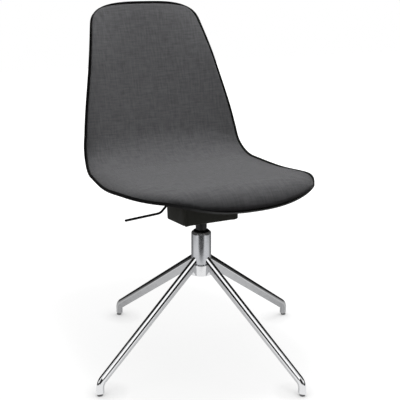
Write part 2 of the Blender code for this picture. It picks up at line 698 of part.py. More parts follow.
def build_rod(frame, looks):
    """The piston rod and what turns with it on the thrust bearing."""
    rod_axis = empty("swivel_axis", frame)
    clip_high = FLOOR_TOP - COLUMN_FLOOR_THICKNESS - RUNNING_GAP
    groove_high = clip_high + SEAT_GAP / 2
    groove_low = clip_high - CLIP_THICKNESS - SEAT_GAP / 2
    groove = ROD_STUB_RADIUS - CLIP_GROOVE_DEPTH
    rod = turned([
        (0.0, ROD_TOP), (ROD_STUB_RADIUS, ROD_TOP), (ROD_STUB_RADIUS, PISTON_LOW), (ROD_RADIUS, PISTON_LOW),
        (ROD_RADIUS, ROD_SHOULDER), (ROD_STUB_RADIUS, ROD_SHOULDER), (ROD_STUB_RADIUS, groove_high),
        (groove, groove_high), (groove, groove_low), (ROD_STUB_RADIUS, groove_low),
        (ROD_STUB_RADIUS, clip_high - ROD_STUB_REACH), (0.0, clip_high - ROD_STUB_REACH),
    ], SMALL_ROUND_STEPS)
    piece("piston_rod", rod, rod_axis, looks["steel"])
    piece("retaining_clip", ring(
        groove + SEAT_GAP, CLIP_RADIUS, clip_high - CLIP_THICKNESS, clip_high, SMALL_ROUND_STEPS),
        rod_axis, looks["steel"])
    stub_bore = ROD_STUB_RADIUS + SEAT_GAP
    piece("upper_bearing_washer", ring(
        stub_bore, WASHER_RADIUS, UPPER_WASHER_LOW, UPPER_WASHER_LOW + WASHER_THICKNESS),
        rod_axis, looks["steel"])
    piece("rubber_buffer", ring(
        ROD_RADIUS + SEAT_GAP, BUFFER_RADIUS, ROD_SHOULDER, BUFFER_TOP), rod_axis, looks["rubber"])
    piece("piston", ring(
        stub_bore, TUBE_BORE - RUNNING_GAP, PISTON_LOW + SEAT_GAP, PISTON_LOW + PISTON_HEIGHT),
        rod_axis, looks["aluminium"])


def tube_radius(height):
    """Outside radius of the pressure tube, which tapers where it sits in the socket."""
    share = max(0.0, height - (TUBE_TOP - TUBE_TAPER_HEIGHT)) / TUBE_TAPER_HEIGHT
    return TUBE_RADIUS - TUBE_TAPER * share


CAP_LOW = TUBE_TOP - TUBE_CAP
FLANGE_TOP = CAP_LOW - SEAT_GAP
PIN_TRAVEL = LEVER_ARM * LEVER_TRAVEL
VALVE_BODY_TOP = FLANGE_TOP - VALVE_FLANGE_HEIGHT - PIN_TRAVEL - RUNNING_GAP


def build_tube(lift, looks):
    """The pressure tube of the gas spring, with its valve and its lower seal."""
    pin_hole = VALVE_PIN_RADIUS + RUNNING_GAP
    tube = turned([
        (tube_radius(TUBE_TOP), TUBE_TOP), (TUBE_RADIUS, TUBE_TOP - TUBE_TAPER_HEIGHT),
        (TUBE_RADIUS, TUBE_BOTTOM), (TUBE_BORE, TUBE_BOTTOM), (TUBE_BORE, CAP_LOW),
        (pin_hole, CAP_LOW), (pin_hole, TUBE_TOP),
    ])
    piece("pressure_tube", tube, lift, looks["black_steel"])
    piece("rod_seal", ring(
        ROD_RADIUS + RUNNING_GAP, TUBE_BORE - SEAT_GAP, TUBE_BOTTOM, SEAL_TOP), lift, looks["rubber"])
    piece("valve_body", ring(
        pin_hole, TUBE_BORE - SEAT_GAP, VALVE_BODY_TOP - VALVE_BODY_LENGTH, VALVE_BODY_TOP),
        lift, looks["steel"])
    valve = empty("valve_axis", lift)
    flange_low = FLANGE_TOP - VALVE_FLANGE_HEIGHT
    pin = turned([
        (0.0, TUBE_TOP + VALVE_PIN_PROUD), (VALVE_PIN_RADIUS, TUBE_TOP + VALVE_PIN_PROUD),
        (VALVE_PIN_RADIUS, FLANGE_TOP), (VALVE_FLANGE_RADIUS, FLANGE_TOP),
        (VALVE_FLANGE_RADIUS, flange_low), (VALVE_PIN_RADIUS, flange_low),
        (VALVE_PIN_RADIUS, flange_low - VALVE_PIN_TAIL),
        (0.0, flange_low - VALVE_PIN_TAIL),
    ], SMALL_ROUND_STEPS)
    piece("valve_pin", pin, valve, looks["steel"])


def lever_path():
    """The lever's middle line in XZ from its pivot: a finger over the valve pin, then out and down."""
    cover_side = LEVER_ARM - COVER_WIDTH / 2
    return [
        (LEVER_ARM + LEVER_FINGER_PAST, 0.0),
        (0.0, 0.0),
        (cover_side - LEVER_SHOULDER_REACH, -LEVER_SHOULDER_DROP),
        (cover_side - LEVER_BEND_REACH, -LEVER_BEND_DROP),
        (cover_side - LEVER_END_REACH, -LEVER_END_DROP),
    ]


def round_corner(before, corner, after):
    """Points that round one bend of a path."""
    here = Vector(corner)
    start = here + (Vector(before) - here).normalized() * LEVER_BEND_ROUND
    end = here + (Vector(after) - here).normalized() * LEVER_BEND_ROUND
    points = []
    for i in range(LEVER_BEND_STEPS + 1):
        t = i / LEVER_BEND_STEPS
        points.append(start * (1 - t) ** 2 + here * 2 * t * (1 - t) + end * t * t)
    return points


def lever_body():
    """A round rod swept along the lever's middle line."""
    path = lever_path()
    line = [Vector(path[0])]
    for before, corner, after in zip(path, path[1:], path[2:]):
        line += round_corner(before, corner, after)
    line.append(Vector(path[-1]))
    rings = []
    for i, here in enumerate(line):
        ahead = (line[min(i + 1, len(line) - 1)] - line[max(i - 1, 0)]).normalized()
        side = Vector((-ahead.y, ahead.x))
        ring_points = []
        for j in range(LEVER_SIDES):
            angle = math.tau * j / LEVER_SIDES
            flat = here + side * LEVER_RADIUS * math.cos(angle)
            ring_points.append(Vector((flat.x, LEVER_RADIUS * math.sin(angle), flat.y)))
        rings.append(ring_points)
    return lofted(rings)


def along_y(bm):
    """Lay a piece that was turned about Z along Y."""
    quarter_turn = Matrix.Rotation(math.pi / 2, 3, "X")
    bmesh.ops.rotate(bm, verts=bm.verts[:], cent=(0.0, 0.0, 0.0), matrix=quarter_turn)
    return bm


def build_lever(deck, looks):
    """The height lever, its pin and the two ears that carry the pin."""
    pivot_place = (-LEVER_ARM, FINGER_Y, FINGER_HEIGHT)
    pivot = empty("lever_pivot", deck, pivot_place)
    half = LEVER_EYE_LENGTH / 2
    eye = cutter("lever_eye_cutter", along_y(disc(LEVER_EYE_RADIUS, -half, half, SMALL_ROUND_STEPS)), pivot)
    hole = cutter("lever_hole_cutter", along_y(disc(
        LEVER_PIN_RADIUS + RUNNING_GAP, -LEVER_EYE_LENGTH, LEVER_EYE_LENGTH, SMALL_ROUND_STEPS)), pivot)
    lever = piece("height_lever", lever_body(), pivot, looks["black_steel"])
    combine(lever, eye, "UNION")
    combine(lever, hole)
    ear_start = half + RUNNING_GAP
    carrier = empty("lever_carrier", deck, pivot_place)
    ear_top = PLATE_LOW - SEAT_GAP - FINGER_HEIGHT
    ear_low = -LEVER_PIN_RADIUS - SEAT_GAP - EAR_CHIN
    for name, side in (("front", -1), ("rear", 1)):
        edges = sorted((side * ear_start, side * (ear_start + EAR_THICKNESS)))
        ear = piece(f"{name}_lever_ear", block(
            (-EAR_WIDTH / 2, edges[0], ear_low), (EAR_WIDTH / 2, edges[1], ear_top)),
            carrier, looks["steel"])
        bore = cutter(f"{name}_ear_cutter", along_y(disc(
            LEVER_PIN_RADIUS + SEAT_GAP, -LEVER_EYE_LENGTH, LEVER_EYE_LENGTH, SMALL_ROUND_STEPS)), carrier)
        combine(ear, bore)
    reach = ear_start + EAR_THICKNESS
    pin = along_y(disc(LEVER_PIN_RADIUS, -reach, reach, SMALL_ROUND_STEPS))
    piece("lever_pin", pin, carrier, looks["steel"])


def lever_slot():
    """The opening in the cover's side that the lever swings in, in the deck's frame."""
    path = lever_path()
    wall = LEVER_ARM - COVER_WIDTH / 2
    before, after = path[1], path[2]
    share = (wall - before[0]) / (after[0] - before[0])
    drop = before[1] + (after[1] - before[1]) * share
    sag = LEVER_BEND_ROUND / 3
    low = FINGER_HEIGHT + drop - LEVER_RADIUS - sag - SLOT_MARGIN
    high = FINGER_HEIGHT + drop + LEVER_RADIUS + SLOT_MARGIN - wall * math.tan(LEVER_TRAVEL)
    half = LEVER_RADIUS + SLOT_MARGIN
    reach = COVER_WALL + COVER_LEDGE + SLOT_MARGIN
    outside = -COVER_WIDTH / 2
    return block((outside - reach, FINGER_Y - half, low), (outside + reach, FINGER_Y + half, high))


def build_deck(lift, looks):
    """Cover, seat plate, taper socket and screws under the seat. The deck's frame tilts with the seat."""
    deck = empty("seat_deck", lift, (0.0, 0.0, SEAT_HEIGHT), -SEAT_TILT)
    cover_top = -SHELL_WALL - COVER_SHELL_GAP
    cover = piece("mechanism_cover", prism(
        rounded_rectangle(COVER_WIDTH, COVER_DEPTH, COVER_CORNER), COVER_BOTTOM, cover_top),
        deck, looks["black_plastic"])
    wall = COVER_WALL + COVER_LEDGE
    lower_room = cutter("cover_lower_cutter", prism(
        rounded_rectangle(COVER_WIDTH - 2 * wall, COVER_DEPTH - 2 * wall, COVER_ROOM_CORNER),
        COVER_BOTTOM + COVER_FLOOR, 0.0), deck)
    plate_corner = COVER_ROOM_CORNER + COVER_LEDGE
    upper_room = cutter("cover_upper_cutter", prism(
        rounded_rectangle(COVER_WIDTH - 2 * COVER_WALL, COVER_DEPTH - 2 * COVER_WALL, plate_corner),
        PLATE_LOW - SEAT_GAP, 0.0), deck)
    combine(cover, lower_room)
    combine(cover, upper_room)
    plate_top_corner = PLATE_LOW * math.cos(SEAT_TILT) - SOCKET_RADIUS * math.sin(SEAT_TILT)
    socket_top = SEAT_HEIGHT + plate_top_corner - SEAT_GAP
    socket_bottom = SEAT_HEIGHT + COVER_BOTTOM + SOCKET_SETBACK
    socket_hole = cutter("cover_socket_cutter", disc(
        SOCKET_RADIUS + SEAT_GAP, socket_bottom - SOCKET_RADIUS, socket_top), lift)
    combine(cover, socket_hole)
    combine(cover, cutter("cover_slot_cutter", lever_slot(), deck))

    plate_inset = COVER_WALL + SEAT_GAP
    plate = piece("seat_plate", prism(
        rounded_rectangle(COVER_WIDTH - 2 * plate_inset, COVER_DEPTH - 2 * plate_inset, plate_corner),
        PLATE_LOW, PLATE_TOP), deck, looks["steel"])
    bore_top = TUBE_TOP - RUNNING_GAP
    head_bore = TUBE_RADIUS + SOCKET_HEAD_CLEARANCE
    socket = piece("taper_socket", turned([
        (SOCKET_RADIUS, socket_top), (SOCKET_RADIUS, socket_bottom),
        (TUBE_RADIUS + SEAT_GAP, socket_bottom), (TUBE_RADIUS + SEAT_GAP, TUBE_TOP - TUBE_TAPER_HEIGHT),
        (tube_radius(bore_top) + SEAT_GAP, bore_top), (head_bore, bore_top), (head_bore, socket_top),
    ]), lift, looks["steel"])
    half = LEVER_RADIUS + SLOT_MARGIN
    combine(socket, cutter("socket_window_cutter", block(
        (-2 * SOCKET_RADIUS, -half, bore_top), (0.0, half, socket_top + SOCKET_RADIUS)), lift))

    insert_bore = SCREW_RADIUS + SEAT_GAP
    insert_radius = insert_bore + INSERT_WALL
    boss_bore = insert_radius + SEAT_GAP
    boss_radius = boss_bore + BOSS_WALL
    boss_low = PLATE_TOP + SEAT_GAP
    insert_top = -SHELL_WALL - INSERT_HEADROOM
    head_top = PLATE_LOW - SEAT_GAP
    screw_top = boss_low + SCREW_ENGAGEMENT
    boss_x = COVER_WIDTH / 2 - COVER_WALL - BOSS_SIDE_MARGIN - boss_radius
    boss_y = COVER_DEPTH / 2 - COVER_WALL - BOSS_END_MARGIN - boss_radius
    spots = [(x, y) for y in (-boss_y, boss_y) for x in (-boss_x, boss_x)]
    bosses = []
    for number, (x, y) in enumerate(spots, start=1):
        spot = empty(f"boss_{number}", deck, (x, y, 0.0))
        bosses.append(cutter(f"boss_ring_{number}", ring(
            boss_bore, boss_radius, boss_low, BOSS_ROOT - SHELL_WALL, SMALL_ROUND_STEPS), spot))
        combine(plate, cutter(f"plate_hole_cutter_{number}", disc(
            insert_bore, PLATE_LOW - PLATE_THICKNESS, 0.0, SMALL_ROUND_STEPS), spot))
        piece(f"threaded_insert_{number}", ring(
            insert_bore, insert_radius, boss_low, insert_top, SMALL_ROUND_STEPS), spot, looks["brass"])
        screw = turned([
            (0.0, screw_top), (SCREW_RADIUS, screw_top), (SCREW_RADIUS, head_top),
            (SCREW_HEAD_RADIUS, head_top), (SCREW_HEAD_RADIUS, head_top - SCREW_HEAD_HEIGHT),
            (0.0, head_top - SCREW_HEAD_HEIGHT),
        ], SMALL_ROUND_STEPS)
        piece(f"seat_screw_{number}", screw, spot, looks["steel"])
    build_lever(deck, looks)
    return bosses


def build_seat(lift, looks, bosses):
    """The moulded shell with its mounting bosses, the foam pad and the fabric over it."""
    shell = piece("seat_shell", sheet_body(
        0, lambda row, column: -SHELL_WALL, rim_rise), lift, looks["black_plastic"])
    for boss in bosses:
        combine(shell, boss, "UNION")

    def foam_top(row, column):
        return SEAT_GAP + pad_thickness(row, column)

    piece("foam_pad", sheet_body(1, lambda row, column: SEAT_GAP, foam_top), lift, looks["foam"])
    piece("fabric_cover", sheet_body(
        1, lambda row, column: foam_top(row, column) + SEAT_GAP,
        lambda row, column: foam_top(row, column) + SEAT_GAP + FABRIC_THICKNESS), lift, looks["fabric"])


def centre_on_floor(frame):
    """Move the whole chair so that its box stands on the origin, and print where the column's axis is."""
    bpy.context.view_layer.update()
    graph = bpy.context.evaluated_depsgraph_get()
    low = Vector((math.inf, math.inf, math.inf))
    high = -low
    for item in bpy.context.scene.objects:
        if item.type != "MESH" or item.hide_render:
            continue
        shape = item.evaluated_get(graph)
        for vert in shape.data.vertices:
            place = item.matrix_world @ vert.co
            low = Vector(map(min, low, place))
            high = Vector(map(max, high, place))
    frame.location = (-(low.x + high.x) / 2, -(low.y + high.y) / 2, -low.z)
    bpy.context.view_layer.update()
    size = [round(value, 4) for value in high - low]
    print("box", size, "column axis at", [round(value, 5) for value in frame.location])


def main():
    clear_scene()
    finish("guide", (0.8, 0.3, 0.1), 0.5)
    looks = {
        "aluminium": finish("polished_aluminium", (0.72, 0.73, 0.74), 0.16, 1.0),
        "chrome": finish("chromed_steel", (0.62, 0.63, 0.65), 0.08, 1.0),
        "steel": finish("zinc_plated_steel", (0.55, 0.55, 0.56), 0.35, 1.0),
        "black_steel": finish("black_coated_steel", (0.02, 0.02, 0.021), 0.35),
        "black_plastic": finish("black_plastic", (0.015, 0.015, 0.016), 0.5),
        "rubber": finish("black_rubber", (0.02, 0.02, 0.02), 0.8),
        "brass": finish("brass", (0.75, 0.55, 0.25), 0.3, 1.0),
        "glide": finish("grey_nylon", (0.35, 0.35, 0.36), 0.55),
        "foam": finish("pale_foam", (0.75, 0.70, 0.55), 0.9),
        "fabric": finish("grey_fabric", (0.11, 0.11, 0.115), 0.9),
    }
    frame = empty("chair", None)
    build_base(frame, looks)
    build_rod(frame, looks)
    lift = empty("seat_lift", frame)
    build_tube(lift, looks)
    bosses = build_deck(lift, looks)
    build_seat(lift, looks, bosses)
    centre_on_floor(frame)


main()
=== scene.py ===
# %% [markdown]
# # A swivel conference chair, dressed round its imported frame
# The chair's solids are already packed as a frame: each one stands where it belongs, in metres, with +Z
# up and the sitter facing -Y. This lesson gives them their fine surfaces, their upholstery and their
# finishes. The frame is loaded first. The dressed chair may not outgrow it.

# %% Load the frame
import json
import math

import bmesh
import bpy
from mathutils import Matrix, Vector


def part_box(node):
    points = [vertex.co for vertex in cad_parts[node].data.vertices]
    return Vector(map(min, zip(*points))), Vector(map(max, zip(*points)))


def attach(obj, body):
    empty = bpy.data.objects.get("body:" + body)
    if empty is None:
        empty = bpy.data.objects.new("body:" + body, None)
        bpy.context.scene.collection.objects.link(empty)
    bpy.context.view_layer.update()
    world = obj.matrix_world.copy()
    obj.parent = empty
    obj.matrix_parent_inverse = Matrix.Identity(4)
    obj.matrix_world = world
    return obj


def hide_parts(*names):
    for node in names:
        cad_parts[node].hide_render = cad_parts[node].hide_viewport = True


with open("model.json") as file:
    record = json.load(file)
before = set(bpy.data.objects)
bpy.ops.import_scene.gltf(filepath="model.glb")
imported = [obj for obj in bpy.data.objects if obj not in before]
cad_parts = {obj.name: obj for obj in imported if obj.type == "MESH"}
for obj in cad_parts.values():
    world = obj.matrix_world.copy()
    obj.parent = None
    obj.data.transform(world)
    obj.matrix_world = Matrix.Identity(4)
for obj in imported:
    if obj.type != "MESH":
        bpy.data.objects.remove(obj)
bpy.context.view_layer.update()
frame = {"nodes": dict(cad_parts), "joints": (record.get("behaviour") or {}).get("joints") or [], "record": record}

BODIES = frame["record"]["behaviour"]["bodies"]
NODE_BODIES = {node: body for body, nodes in BODIES.items() for node in nodes}
NODE_SLOTS = {part["node"]: part["material_slot"] for part in frame["record"]["subparts"]}
JOINTS = {joint["name"]: joint for joint in frame["joints"]}
AXIS = Vector((*JOINTS["swivel"]["pos_m"][:2], 0.0))
UP = Vector((0.0, 0.0, 1.0))
print("frame of", len(NODE_SLOTS), "solids, column axis at", tuple(round(v, 4) for v in AXIS))

# %% [markdown]
# ## The camera
# A product photograph is taken with a long lens from a little above seat height. A camera could be placed
# by eye, but then every later comparison drifts. Here it stands at a measured distance from the column,
# turned and dipped by two angles, so that a wrong angle can be corrected by itself.

# %% Camera
CAMERA_YAW = math.radians(26.5)
CAMERA_DIP = math.radians(15.7)
CAMERA_DISTANCE = 1.983
CAMERA_HEIGHT = 0.965
LENS_MM = 74.88
FRAME_SHIFT = -0.003

AHEAD = Vector((math.sin(CAMERA_YAW), math.cos(CAMERA_YAW), 0.0))
sight = AHEAD * math.cos(CAMERA_DIP) - UP * math.sin(CAMERA_DIP)
lens = bpy.data.cameras.new("camera")
lens.lens = LENS_MM
lens.shift_x = FRAME_SHIFT
camera = bpy.data.objects.new("camera", lens)
camera.location = AXIS - AHEAD * CAMERA_DISTANCE + UP * CAMERA_HEIGHT
camera.rotation_euler = sight.to_track_quat("-Z", "Y").to_euler()
bpy.context.scene.collection.objects.link(camera)
bpy.context.scene.camera = camera
print("camera at", tuple(round(v, 3) for v in camera.location))

# %% [markdown]
# ## Node helpers
# A material is a tree of nodes. Written out in full, each node takes four or five lines, so one helper
# adds a node, chooses its settings and sets or links its inputs. Another makes a Principled material
# whose even values sit on the shader's own sockets. Short ones after them reckon with values and mix
# colours.

# %% Node helpers
FINISHES = {}


def put(tree, kind, inputs=None, **settings):
    """Add a node, choose its settings, and set or link its inputs by name or number."""
    node = tree.nodes.new(kind)
    for name, value in settings.items():
        setattr(node, name, value)
    for name, value in (inputs or {}).items():
        if isinstance(value, bpy.types.NodeSocket):
            tree.links.new(value, node.inputs[name])
        else:
            node.inputs[name].default_value = value
    return node


def new_finish(slot, even_values):
    """A Principled material for one of the record's slots, with its even values set."""
    material = bpy.data.materials.new(slot)
    material.use_nodes = True
    shader = material.node_tree.nodes["Principled BSDF"]
    for name, value in even_values.items():
        shader.inputs[name].default_value = value
    FINISHES[slot] = material
    return material.node_tree, shader


print("node helpers ready")

# %% Reckoning nodes
def reckon(tree, operation, first, second=0.0):
    """The result of a Math node."""
    return put(tree, "ShaderNodeMath", {0: first, 1: second}, operation=operation).outputs[0]


def between(tree, share, low, high):
    """A value between two others."""
    return put(tree, "ShaderNodeMix", {0: share, 2: low, 3: high}, data_type="FLOAT").outputs[0]


def tinted(tree, share, low, high):
    """A colour between two others, each a colour or a socket."""
    low, high = (c if isinstance(c, bpy.types.NodeSocket) else (*c, 1.0) for c in (low, high))
    return put(tree, "ShaderNodeMix", {0: share, 6: low, 7: high}, data_type="RGBA").outputs[2]


def ranged(tree, value, source, target=(0.0, 1.0), smooth=False):
    """A value carried from one range to another, and held at its ends."""
    node = put(tree, "ShaderNodeMapRange", {
        "Value": value, "From Min": source[0], "From Max": source[1],
        "To Min": target[0], "To Max": target[1],
    }, interpolation_type="SMOOTHSTEP" if smooth else "LINEAR")
    return node.outputs[0]


print("reckoning nodes ready")

# %% [markdown]
# ## Two effects that many finishes share
# Moulded plastic, cast metal and rubber all have a skin with a fine grain, and every polished or painted
# part carries faint marks from handling. Both could be copied into each material, but then a change has
# to be made ten times. As node groups they are built once, and each material places them with its own
# values.

# %% Skin grain
TONE_PATCH_SHARE = 0.06
TONE_RANGE = (0.35, 0.65)


def new_group(name, inputs, outputs):
    """An empty group with its sockets, and its input and output nodes."""
    tree = bpy.data.node_groups.new(name, "ShaderNodeTree")
    for label, value in inputs.items():
        socket = tree.interface.new_socket(label, in_out="INPUT", socket_type="NodeSocketFloat")
        socket.default_value = value
    for label in outputs:
        tree.interface.new_socket(label, in_out="OUTPUT", socket_type="NodeSocketFloat")
    return tree, tree.nodes.new("NodeGroupInput"), tree.nodes.new("NodeGroupOutput")


def build_grain():
    """Fine grain of a moulded or cast skin: its height, and slow changes of its tone."""
    tree, given, result = new_group("skin_grain", {"Scale": 900.0}, ("Height", "Tone"))
    place = put(tree, "ShaderNodeTexCoord").outputs["Object"]
    fine = put(tree, "ShaderNodeTexNoise", {
        "Vector": place, "Scale": given.outputs["Scale"], "Detail": 3.0, "Roughness": 0.6})
    slow_scale = reckon(tree, "MULTIPLY", given.outputs["Scale"], TONE_PATCH_SHARE)
    slow = put(tree, "ShaderNodeTexNoise", {"Vector": place, "Scale": slow_scale, "Detail": 2.0})
    tone = ranged(tree, slow.outputs[0], TONE_RANGE)
    tree.links.new(fine.outputs[0], result.inputs["Height"])
    tree.links.new(tone, result.inputs["Tone"])
    return tree


GRAIN = build_grain()
print("shared group", GRAIN.name)

# %% Handling marks
MARKS_RANGE = (0.38, 0.68)


def build_marks():
    """Faint wiped marks from handling, as a roughness between a clean and a worn one."""
    tree, given, result = new_group(
        "handling_marks", {"Scale": 30.0, "Clean": 0.1, "Worn": 0.2}, ("Roughness",))
    place = put(tree, "ShaderNodeTexCoord").outputs["Object"]
    wiped = put(tree, "ShaderNodeTexNoise", {
        "Vector": place, "Scale": given.outputs["Scale"], "Detail": 5.0, "Roughness": 0.65,
        "Distortion": 0.6})
    worn = ranged(tree, wiped.outputs[0], MARKS_RANGE, (given.outputs["Clean"], given.outputs["Worn"]))
    tree.links.new(worn, result.inputs["Roughness"])
    return tree


MARKS = build_marks()


def place_group(tree, group, **values):
    """Put a shared group into a material, with that material's own values."""
    node = tree.nodes.new("ShaderNodeGroup")
    node.node_tree = group
    for name, value in values.items():
        node.inputs[name].default_value = value
    return node.outputs


print("shared groups:", [group.name for group in bpy.data.node_groups])

# %% [markdown]
# ## Plain finishes
# Chrome, black coated steel, moulded plastic, rubber, zinc plate, brass and nylon differ in colour, gloss
# and grain, but are put together alike: a tone that drifts a little, a roughness with handling marks, and
# a bump from the grain. One function makes them all, and each call below is one finish of the real chair.
# Two of them also change within a piece: plastic is lighter where the mould's skin is coarse, and chrome
# is matt where an edge was brushed. Two materials would meet in a hard line, so these read a mark at the
# mesh's points.

# %% Plain finishes
GRAIN_STRENGTH = 0.5
MARKS_SCALE = 30.0
METAL = {"Metallic": 1.0}


def plain_finish(slot, dark, light, grain, depth, clean, worn, even_values=None):
    """A finish with a drifting tone, handling marks and a fine grain."""
    tree, shader = new_finish(slot, even_values or {})
    skin = place_group(tree, GRAIN, Scale=grain)
    wiped = place_group(tree, MARKS, Scale=MARKS_SCALE, Clean=clean, Worn=worn)
    bump = put(tree, "ShaderNodeBump", {
        "Height": skin["Height"], "Strength": GRAIN_STRENGTH, "Distance": depth})
    tree.links.new(tinted(tree, skin["Tone"], dark, light), shader.inputs["Base Color"])
    tree.links.new(wiped["Roughness"], shader.inputs["Roughness"])
    tree.links.new(bump.outputs[0], shader.inputs["Normal"])


plain_finish("column_chrome", (0.49, 0.50, 0.52), (0.56, 0.57, 0.59),
             grain=60.0, depth=0.00002, clean=0.10, worn=0.22, even_values=METAL)
plain_finish("black_steel", (0.018, 0.018, 0.0175), (0.026, 0.026, 0.0250),
             grain=700.0, depth=0.00004, clean=0.30, worn=0.42, even_values={"Specular IOR Level": 0.35})
plain_finish("black_plastic", (0.004, 0.004, 0.0041), (0.008, 0.008, 0.0081),
             grain=1500.0, depth=0.00012, clean=0.46, worn=0.62, even_values={"Specular IOR Level": 0.2})
plain_finish("black_rubber", (0.015, 0.015, 0.015), (0.026, 0.026, 0.026),
             grain=800.0, depth=0.0001, clean=0.70, worn=0.85)
plain_finish("zinc_steel", (0.48, 0.49, 0.51), (0.60, 0.59, 0.56),
             grain=500.0, depth=0.00003, clean=0.26, worn=0.42, even_values=METAL)
plain_finish("insert_brass", (0.66, 0.47, 0.20), (0.78, 0.58, 0.27),
             grain=500.0, depth=0.00003, clean=0.24, worn=0.38, even_values=METAL)
plain_finish("glide_plastic", (0.42, 0.42, 0.43), (0.50, 0.50, 0.51),
             grain=1200.0, depth=0.0001, clean=0.45, worn=0.60)
print("plain finishes:", sorted(FINISHES))

# %% Coarse plastic and brushed chrome
COARSE_BLACK = (0.085, 0.085, 0.073)
BRUSHED_CHROME = (0.86, 0.87, 0.88)


def tint_marked(slot, mark, colour):
    """Give points that carry a mark another colour. Returns the tree and the mark."""
    tree = FINISHES[slot].node_tree
    base = tree.nodes["Principled BSDF"].inputs["Base Color"]
    share = put(tree, "ShaderNodeAttribute", attribute_name=mark).outputs["Fac"]
    tree.links.new(tinted(tree, share, base.links[0].from_socket, colour), base)
    return tree, share


tint_marked("black_plastic", "coarse", COARSE_BLACK)
chrome_tree, brushed = tint_marked("column_chrome", "rubbed", BRUSHED_CHROME)
chrome_metal = chrome_tree.nodes["Principled BSDF"].inputs["Metallic"]
chrome_tree.links.new(reckon(chrome_tree, "SUBTRACT", 1.0, brushed), chrome_metal)
print("black plastic reads the mark coarse, chrome the mark rubbed")

# %% [markdown]
# ## Polished and satin aluminium
# The legs are castings: the ridge and the faces beside it are polished bright, while the sides keep the
# satin skin of the mould. Two materials would meet in a hard line along faces. Here one material reads a
# mask that the mesh carries at its points, 1 on the polish and 0 on the satin, and mixes colour,
# roughness and bump with it.

# %% Polished and satin aluminium
SATIN_COLOURS = ((0.52, 0.525, 0.535), (0.60, 0.605, 0.615))
POLISHED_COLOUR = (0.78, 0.785, 0.795)
SATIN_ROUGHNESS = (0.36, 0.46)


def aluminium_finish():
    """Bright where the mesh is marked as polished, satin elsewhere."""
    tree, shader = new_finish("polished_aluminium", {"Metallic": 1.0})
    polish = put(tree, "ShaderNodeAttribute", attribute_name="polish").outputs["Fac"]
    skin = place_group(tree, GRAIN, Scale=1100.0)
    wiped = place_group(tree, MARKS, Scale=45.0, Clean=0.07, Worn=0.16)
    satin = tinted(tree, skin["Tone"], *SATIN_COLOURS)
    satin_rough = between(tree, skin["Tone"], *SATIN_ROUGHNESS)
    height = reckon(tree, "MULTIPLY", skin["Height"], reckon(tree, "SUBTRACT", 1.0, polish))
    bump = put(tree, "ShaderNodeBump", {"Height": height, "Strength": 0.45, "Distance": 0.00012})
    tree.links.new(tinted(tree, polish, satin, POLISHED_COLOUR), shader.inputs["Base Color"])
    tree.links.new(between(tree, polish, satin_rough, wiped["Roughness"]), shader.inputs["Roughness"])
    tree.links.new(bump.outputs[0], shader.inputs["Normal"])


aluminium_finish()
print("aluminium finish ready")

# %% [markdown]
# ## Woven fabric
# The cover is a fine plain weave of dark grey yarns, whose thick places show as faint streaks along and
# across the cloth. A photograph of cloth could be projected, but it would repeat and stretch. Two sine
# waves make the crossings of the threads, two stretched noises make the streaks, and both follow the
# cover's own map, which is in metres, so that the threads bend with the seat. Near the edge where the
# fabric is tucked in, a mark at the points darkens the cloth with painted shade.

# %% Threads and streaks
THREAD_PITCH = 0.0013


def threads_across(tree, place):
    """A wave with one crest for each thread."""
    return put(tree, "ShaderNodeMath", {0: reckon(tree, "MULTIPLY", place, math.pi / THREAD_PITCH)},
               operation="SINE").outputs[0]


def streaks(tree, cloth, along, across):
    """Noise stretched over the cloth, for the thick places of its yarn."""
    stretched = put(tree, "ShaderNodeMapping", {"Vector": cloth, "Scale": (1.0 / along, 1.0 / across, 1.0)})
    noise = put(tree, "ShaderNodeTexNoise", {"Vector": stretched.outputs[0], "Scale": 1.0, "Detail": 3.0},
                noise_dimensions="2D")
    return noise.outputs[0]


print("threads every", THREAD_PITCH * 1000, "mm")

# %% Woven fabric
STREAK_LENGTH = 0.034
STREAK_WIDTH = 0.0042
PATCH_SIZE = 0.016
STREAK_RANGE = (0.34, 0.66)
PATCH_SHARE = 0.38
CROSSING_SHARE = 0.14
SLUB_HEIGHT_SHARE = 0.35
YARN_DARK = (0.085, 0.085, 0.089)
YARN_LIGHT = (0.155, 0.155, 0.160)
# Painted shade: near the tucked edge the yarn colour is drawn towards this darker one.
YARN_IN_PAINTED_SHADE = (0.030, 0.030, 0.032)
TUCK_PAINTED_SHADE = 0.66


